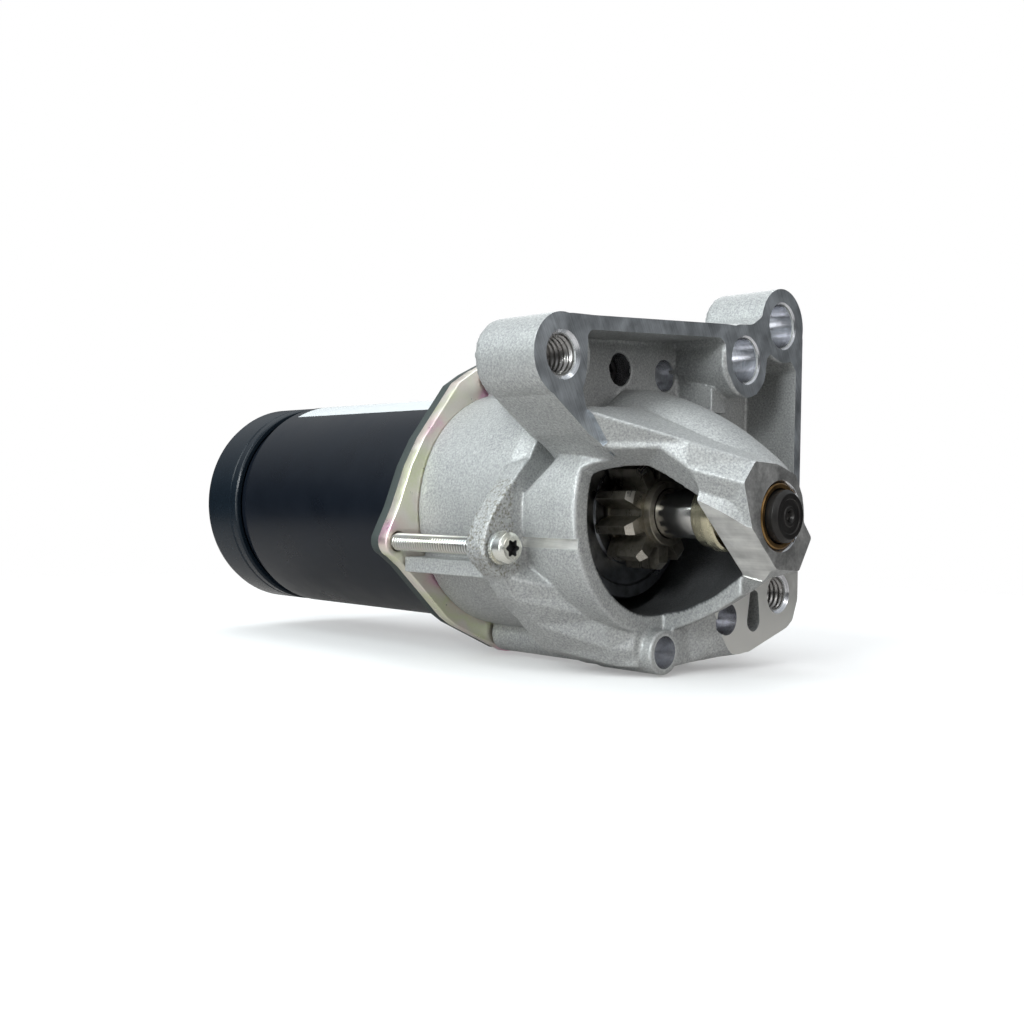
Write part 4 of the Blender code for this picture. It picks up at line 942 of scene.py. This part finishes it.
def pinion():
    """The ten-tooth pinion, chamfered in front, on its hub."""
    pitch = 2 * math.pi / 10
    flank = ((9.3, 0.36), (9.7, 0.335), (10.4, 0.31), (11.2, 0.285), (12.0, 0.255), (12.9, 0.222),
             (13.8, 0.18), (14.5, 0.145), (14.9, 0.12), (15.0, 0.10))     # radius, share of the pitch
    outline = []
    for i in range(10):
        mid = math.radians(18) + i * pitch
        sides = [(r, -share) for r, share in flank] + [(r, share) for r, share in flank[::-1]]
        outline += [polar(0.0, 0.0, r, mid + share * pitch) for r, share in sides]
    gear = body_prism(outline, 6.0, 17.5, GEAR)
    keep = body_lathe([
        (0, 18.0), (14.6, 18.0), (15.3, 17.0), (15.3, 7.8), (13.2, 6.02), (13.0, 5.9), (0, 5.9)],
        GEAR_EDGE, steps=160)
    boolean(gear, keep, "INTERSECT")
    hub = body_lathe([(0, 29.5), (10.0, 29.5), (10.0, 17.0), (9.2, 16.6), (9.2, 6.4), (8.6, 6.0), (8.6, 4.2),
                      (8.4, 4.0), (0, 4.0)], GEAR)
    boolean(gear, hub, "UNION")
    boolean(gear, body_lathe(rod(6.8, 3.0, 31.0), GEAR))
    settle(gear, "pinion_gear", "pinion", "pinion", 30)


def drive_pieces():
    """The shaft, the clutch's shell, the stop collar and the nose bush."""
    lathe("shaft_front", [
        (0, 47.0), (4.6, 47.0), (4.6, 55.5), (22.5, 55.5), (22.5, 52.0), (9.0, 52.0), (9.0, 46.0),
        (7.0, 46.0), (7.0, 27.0), (6.5, 26.0), (6.5, -12.9), (5.6, -12.9), (5.6, -14.5), (6.5, -14.5),
        (6.5, -29.2), (0, -29.2)], STEEL, body="drive", node="drive_shaft", radius=0.15)
    lathe("shaft_end", [
        (0, -28.5), (6.5, -28.5), (6.5, -31.6), (5.6, -32.7), (4.4, -32.7), (4.2, -32.45), (2.6, -32.45),
        (2.4, -32.7), (1.7, -32.7), (1.1, -31.4), (0, -30.9)], NOSE_STEEL, body="drive", radius=0.12)
    lathe("clutch_shell", [
        (18.8, 31.0), (19.8, 30.0), (19.8, 22.6), (23.5, 21.2), (23.5, 18.8), (23.1, 18.0), (20.0, 18.0),
        (19.6, 18.5), (14.2, 18.5), (13.8, 18.0), (10.4, 18.0), (10.4, 29.8), (8.4, 29.8), (8.4, 45.5),
        (15.4, 45.5), (15.4, 43.5), (11.5, 43.5), (11.5, 34.5), (15.4, 34.5), (15.4, 31.0)], CLUTCH,
        body="clutch", node="overrunning_clutch", radius=0.3, closed=True)
    lathe("collar_detail", [
        (8.4, -9.0), (8.4, -12.0), (9.4, -12.5), (9.4, -15.2), (8.8, -15.8), (7.5, -15.8), (7.5, -12.2),
        (6.8, -12.2), (6.8, -8.6), (8.0, -8.6)], COLLAR, body="drive", node="stop_collar", radius=0.2,
        closed=True)
    lathe("bush_detail", [
        (8.2, -29.6), (7.9, -29.9), (7.0, -29.9), (6.8, -29.7), (6.8, -18.9), (8.2, -18.9)], BRONZE,
        node="nose_bush", radius=0.1, closed=True)


def solenoid():
    """The solenoid's steel case and the moulded cap on its back end."""
    x, z = toward_solenoid(SOLENOID_OFFSET)
    lathe("case_shell", [
        (22.0, 97.4), (21.6, 98.0), (20.0, 98.0), (20.0, 47.8), (11.6, 47.8), (11.6, 44.6), (21.4, 44.6),
        (22.0, 45.4), (22.0, 93.2), (21.75, 93.8), (22.0, 94.4)], PAINT, node="solenoid_case", x=x, z=z,
        steps=120, radius=0.3, closed=True)
    cap = body_lathe([
        (0, 112.0), (19.4, 112.0), (20.6, 110.8), (21.2, 104.6), (21.0, 104.2), (21.3, 103.8), (21.8, 98.4),
        (19.0, 98.4), (18.0, 108.6), (0, 108.6)], PLASTIC, x=x, z=z, radius=0.35, steps=120)
    for offset in (-STUD_OFFSET, STUD_OFFSET):
        sx, sz = toward_solenoid(SOLENOID_OFFSET + offset)
        boolean(cap, body_lathe(rod(4.2, 107.0, 113.0), PLASTIC, x=sx, z=sz, steps=40))
    settle(cap, "cap_moulding", "housing", "solenoid_cap", 40)


def terminals():
    """The two threaded studs with their nuts."""
    for name, offset, nut_y in (("battery", STUD_OFFSET, 112.3), ("motor", -STUD_OFFSET, 114.2)):
        sx, sz = toward_solenoid(SOLENOID_OFFSET + offset)
        bm = bmesh.new()
        add_lathe(bm, [(0, 104.6), (6.2, 104.6), (6.2, 108.2), (3.9, 108.2), (3.9, 111.6), (0, 111.6)],
                  x=sx, z=sz, steps=48, radius=0.3)
        add_thread(bm, 3.9, 0.62, 1.25, 111.0, 126.6, sx, sz, around=40)
        add_lathe(bm, [(0, 126.2), (3.3, 126.2), (3.1, 127.0), (0, 127.0)], x=sx, z=sz, radius=0.1, steps=40)
        piece(name + "_stud_thread", mesh_from(bm, recalc=False), COPPER, "housing", name + "_stud", 60)
        hexagon(name + "_nut_hexagon", sx, sz, 7.4, nut_y, nut_y + 6.0, SCREW_ZINC, name + "_nut", 4.2)

def solenoid_screws():
    for index, side in enumerate((-19.5, 19.5), 1):
        sx, sz = toward_solenoid(SOLENOID_OFFSET, side)
        head = body_lathe([(0, 47.4), (2.0, 47.4), (2.45, 46.8), (2.45, 35.7), (4.1, 35.7), (4.1, 32.6),
                           (3.4, 32.0), (0, 32.0)], SCREW_ZINC, x=sx, z=sz, radius=0.25, steps=48)
        boolean(head, body_prism(star(sx, sz, 2.3, 1.6), 31.0, 33.9, RUBBER))
        settle(head, "case_screw_%d" % index, "housing", "solenoid_screw_%d" % index, 30)


def motor_lead():
    """Four twisted bundles of copper wire, laid up about the lead's own path."""
    stops = [(37.2, 112.8), (37.2, 118.0), (38.4, 124.0), (40.0, 130.0), (41.0, 136.0), (40.2, 141.0),
             (37.6, 143.0), (31.6, 143.0)]
    line = fillet([(d, y, 0 if i in (0, 7) else 4.0) for i, (d, y) in enumerate(stops)], 4.0, 6)
    dense = [Vector(line[0])]
    for point in line[1:]:
        step = Vector(point) - dense[-1]
        count = max(1, int(step.length / 0.6))
        dense += [dense[-1] + step * (k + 1) / count for k in range(count)]
    bm = bmesh.new()
    side = Vector(toward_solenoid(0.0, 1.0))
    for bundle in range(4):
        rings, walked = [], 0.0
        for i, point in enumerate(dense):
            ahead = (dense[min(i + 1, len(dense) - 1)] - dense[max(i - 1, 0)]).normalized()
            walked += (point - dense[i - 1]).length if i else 0.0
            x, z = toward_solenoid(point.x)
            across = Vector(toward_solenoid(ahead.y))
            u = Vector((across.x, -ahead.x, across.y))
            v = Vector((side.x, 0.0, side.y))
            a = math.radians(90 * bundle) + walked / 10.0 * 2 * math.pi
            middle = Vector((x, point.y, z)) + (u * math.cos(a) + v * math.sin(a)) * 1.28
            ring = []
            for k in range(12):
                b = 2 * math.pi * k / 12
                ring.append(bm.verts.new((middle + (u * math.cos(b) + v * math.sin(b)) * 1.08) * MM))
            rings.append(ring)
        skin(bm, rings)
        bm.faces.new(rings[0][::-1])
        bm.faces.new(rings[-1])
    piece("lead_rope", mesh_from(bm), COPPER, "housing", "motor_lead", 60)
    x, z = toward_solenoid(SOLENOID_OFFSET - STUD_OFFSET)
    bm = bmesh.new()
    add_lathe(bm, [(4.2, 112.4), (7.0, 112.4), (7.0, 113.9), (4.2, 113.9)], x=x, z=z, radius=0.2, closed=True)
    corners = [toward_solenoid(d, s) for d, s in ((35.6, -2.6), (42.0, -3.2), (42.0, 3.2), (35.6, 2.6))]
    add_prism(bm, corners, 112.5, 113.8)
    piece("lead_eyelet", mesh_from(bm), SCREW_ZINC, "housing", None, 35)


def hole_threads():
    """Screw threads in the two tapped mounting holes; each sits inside its own bore's wall."""
    for tag, (x, z, r) in (("a", HOLE_A), ("e", HOLE_E)):
        bm = bmesh.new()
        add_thread(bm, r - 0.04, 0.62, 1.5, 1.2, 19.6, x, z, wall=0.6, around=56)
        piece("tapped_hole_" + tag, mesh_from(bm), THREAD, "housing", None, 60)


def return_spring():
    """The plunger's spring, copied from the CAD node into a mesh of its own; nothing here shortens it as the
    plunger comes in.
    """
    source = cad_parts["return_spring"]
    bm = bmesh.new()
    bm.from_mesh(source.data)
    bm.transform(source.matrix_world)
    spring = piece("return_spring_coil", mesh_from(bm), STEEL, "housing", "return_spring", 60)
    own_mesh(spring)


def remaining_nodes():
    """Procedural finishes for the CAD nodes that keep their own shape."""
    for name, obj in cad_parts.items():
        if obj.hide_render or obj.type != "MESH":
            continue
        finish = next((mat for prefix, mat in NODE_FINISH.items() if name.startswith(prefix)), STEEL)
        obj.data.materials.clear()
        obj.data.materials.append(finish)
        smoothed(obj.data, 30)


motor_tube()
blank_label()
rear_cap()
plate_and_seal()
plate_screws()
pinion()
drive_pieces()
solenoid()
terminals()
solenoid_screws()
refined("spade_terminal", SCREW_ZINC, width=0.15)
refined("lead_grommet", RUBBER, width=0.4)
return_spring()
motor_lead()
hole_threads()
remaining_nodes()


# ---- Camera, light and floor ----
def view():
    """The main camera, by its place and three angles."""
    camera = linked("camera", bpy.data.cameras.new("camera"))
    SCENE.camera = camera
    camera.data.lens = 42.924
    camera.data.clip_start = 0.01
    yaw, pitch, roll = (math.radians(a) for a in (44.793, 0.66, 1.026))
    right = Vector((math.cos(yaw), -math.sin(yaw), 0))
    ahead = Vector((math.sin(yaw) * math.cos(pitch), math.cos(yaw) * math.cos(pitch), -math.sin(pitch)))
    down = ahead.cross(right)
    across = right * math.cos(roll) - down * math.sin(roll)
    under = right * math.sin(roll) + down * math.cos(roll)
    camera.matrix_world = Matrix((across, -under, -ahead)).transposed().to_4x4()
    camera.location = (-0.256463, -0.195134, 0.003311)


def lamp(name, place, size, power, colour=(1, 1, 1), target=(0.0, 0.06, 0.0)):
    """A soft rectangular lamp that faces its target."""
    data = bpy.data.lights.new(name, "AREA")
    data.shape = "RECTANGLE"
    data.size, data.size_y = size
    data.energy = power
    data.color = colour
    obj = linked(name, data)
    obj.location = place
    obj.rotation_euler = (Vector(target) - Vector(place)).to_track_quat("-Z", "Y").to_euler()


def lamps():
    lamp("key", (-0.62, 0.16, 0.50), (0.50, 0.50), 4.7, (0.92, 0.99, 1.0))
    lamp("top", (0.05, 0.12, 0.85), (0.7, 0.7), 3.0, (0.94, 0.99, 1.0))
    lamp("front", (-0.05, -0.85, 0.35), (0.5, 0.5), 2.4, (1.0, 0.98, 0.97))
    lamp("window", (-0.55, -0.20, 0.22), (0.12, 0.12), 1.5, (0.95, 0.99, 1.0), (0.0, 0.0, 0.0))
    lamp("left", (-0.80, -0.10, 0.02), (0.30, 0.45), 2.5, (0.94, 0.99, 1.0))
    lamp("back", (0.75, 0.60, 0.50), (0.6, 0.6), 3.2)


def surround():
    """White behind the object, but metal reflects a dark horizon, paler overhead and underfoot."""
    world = bpy.data.worlds.new("studio")
    SCENE.world = world
    world.use_nodes = True
    nodes, wire = world.node_tree.nodes, world.node_tree.links.new
    shown = nodes["Background"]
    shown.inputs["Color"].default_value = (1, 1, 1, 1)
    lit = nodes.new("ShaderNodeBackground")
    aim = nodes.new("ShaderNodeTexCoord")
    axes = nodes.new("ShaderNodeSeparateXYZ")
    rise = nodes.new("ShaderNodeMapRange")
    rise.inputs["From Min"].default_value = -1.0
    shades = nodes.new("ShaderNodeValToRGB")
    levels = ((0.12, 0.40), (0.40, 0.10), (0.50, 0.035), (0.60, 0.10), (0.82, 0.62))
    set_stops(shades, [(place, (grey * 0.93, grey * 0.97, grey)) for place, grey in levels])
    wire(aim.outputs["Generated"], axes.inputs[0])
    wire(axes.outputs["Z"], rise.inputs["Value"])
    wire(rise.outputs["Result"], shades.inputs["Fac"])
    wire(shades.outputs["Color"], lit.inputs["Color"])
    path = nodes.new("ShaderNodeLightPath")
    mix = nodes.new("ShaderNodeMixShader")
    wire(path.outputs["Is Camera Ray"], mix.inputs[0])
    wire(lit.outputs[0], mix.inputs[1])
    wire(shown.outputs[0], mix.inputs[2])
    wire(mix.outputs[0], nodes["World Output"].inputs["Surface"])


def ground_disc():
    """A round floor that takes the shadow and fades out towards its edge."""
    floor_z = CAD_BOX[0][2] - 0.0006
    bm = bmesh.new()
    bmesh.ops.create_circle(bm, cap_ends=True, segments=96, radius=0.5)
    mesh = mesh_from(bm, recalc=False)
    floor = linked("floor", mesh)
    floor.location = (0.0, 0.06, floor_z)
    ground = Shade("floor_white", (0.93, 0.93, 0.93), Roughness=0.8)
    shown_floor = ground.mix(ground.noise(30.0), (0.925, 0.925, 0.925), (0.935, 0.935, 0.935))
    seen = ground.node("ShaderNodeLightPath").outputs["Is Camera Ray"]
    ground.colour(ground.mix(seen, (0.54, 0.51, 0.49), shown_floor))
    reach = ground.node("ShaderNodeVectorMath", operation="LENGTH")
    ground.wire(ground.place((1000.0, 1000.0, 1000.0)), reach.inputs[0])
    fade = ground.node("ShaderNodeMapRange", interpolation_type="SMOOTHSTEP")
    ground.wire(reach.outputs["Value"], fade.inputs["Value"])
    for socket, value in (("From Min", 0.10), ("From Max", 0.42), ("To Min", 0.75), ("To Max", 0.0)):
        fade.inputs[socket].default_value = value
    above = ground.math("SUBTRACT", 1.0, ground.node("ShaderNodeNewGeometry").outputs["Backfacing"])
    clear = ground.node("ShaderNodeBsdfTransparent")
    blend = ground.node("ShaderNodeMixShader")
    ground.wire(ground.math("MULTIPLY", fade.outputs["Result"], above), blend.inputs[0])
    ground.wire(clear.outputs[0], blend.inputs[1])
    ground.wire(ground.shader.outputs[0], blend.inputs[2])
    ground.wire(blend.outputs[0], ground.tree.nodes["Material Output"].inputs["Surface"])
    mesh.materials.append(ground.mat)


view()
lamps()
surround()
ground_disc()
SCENE.view_settings.view_transform = "Standard"
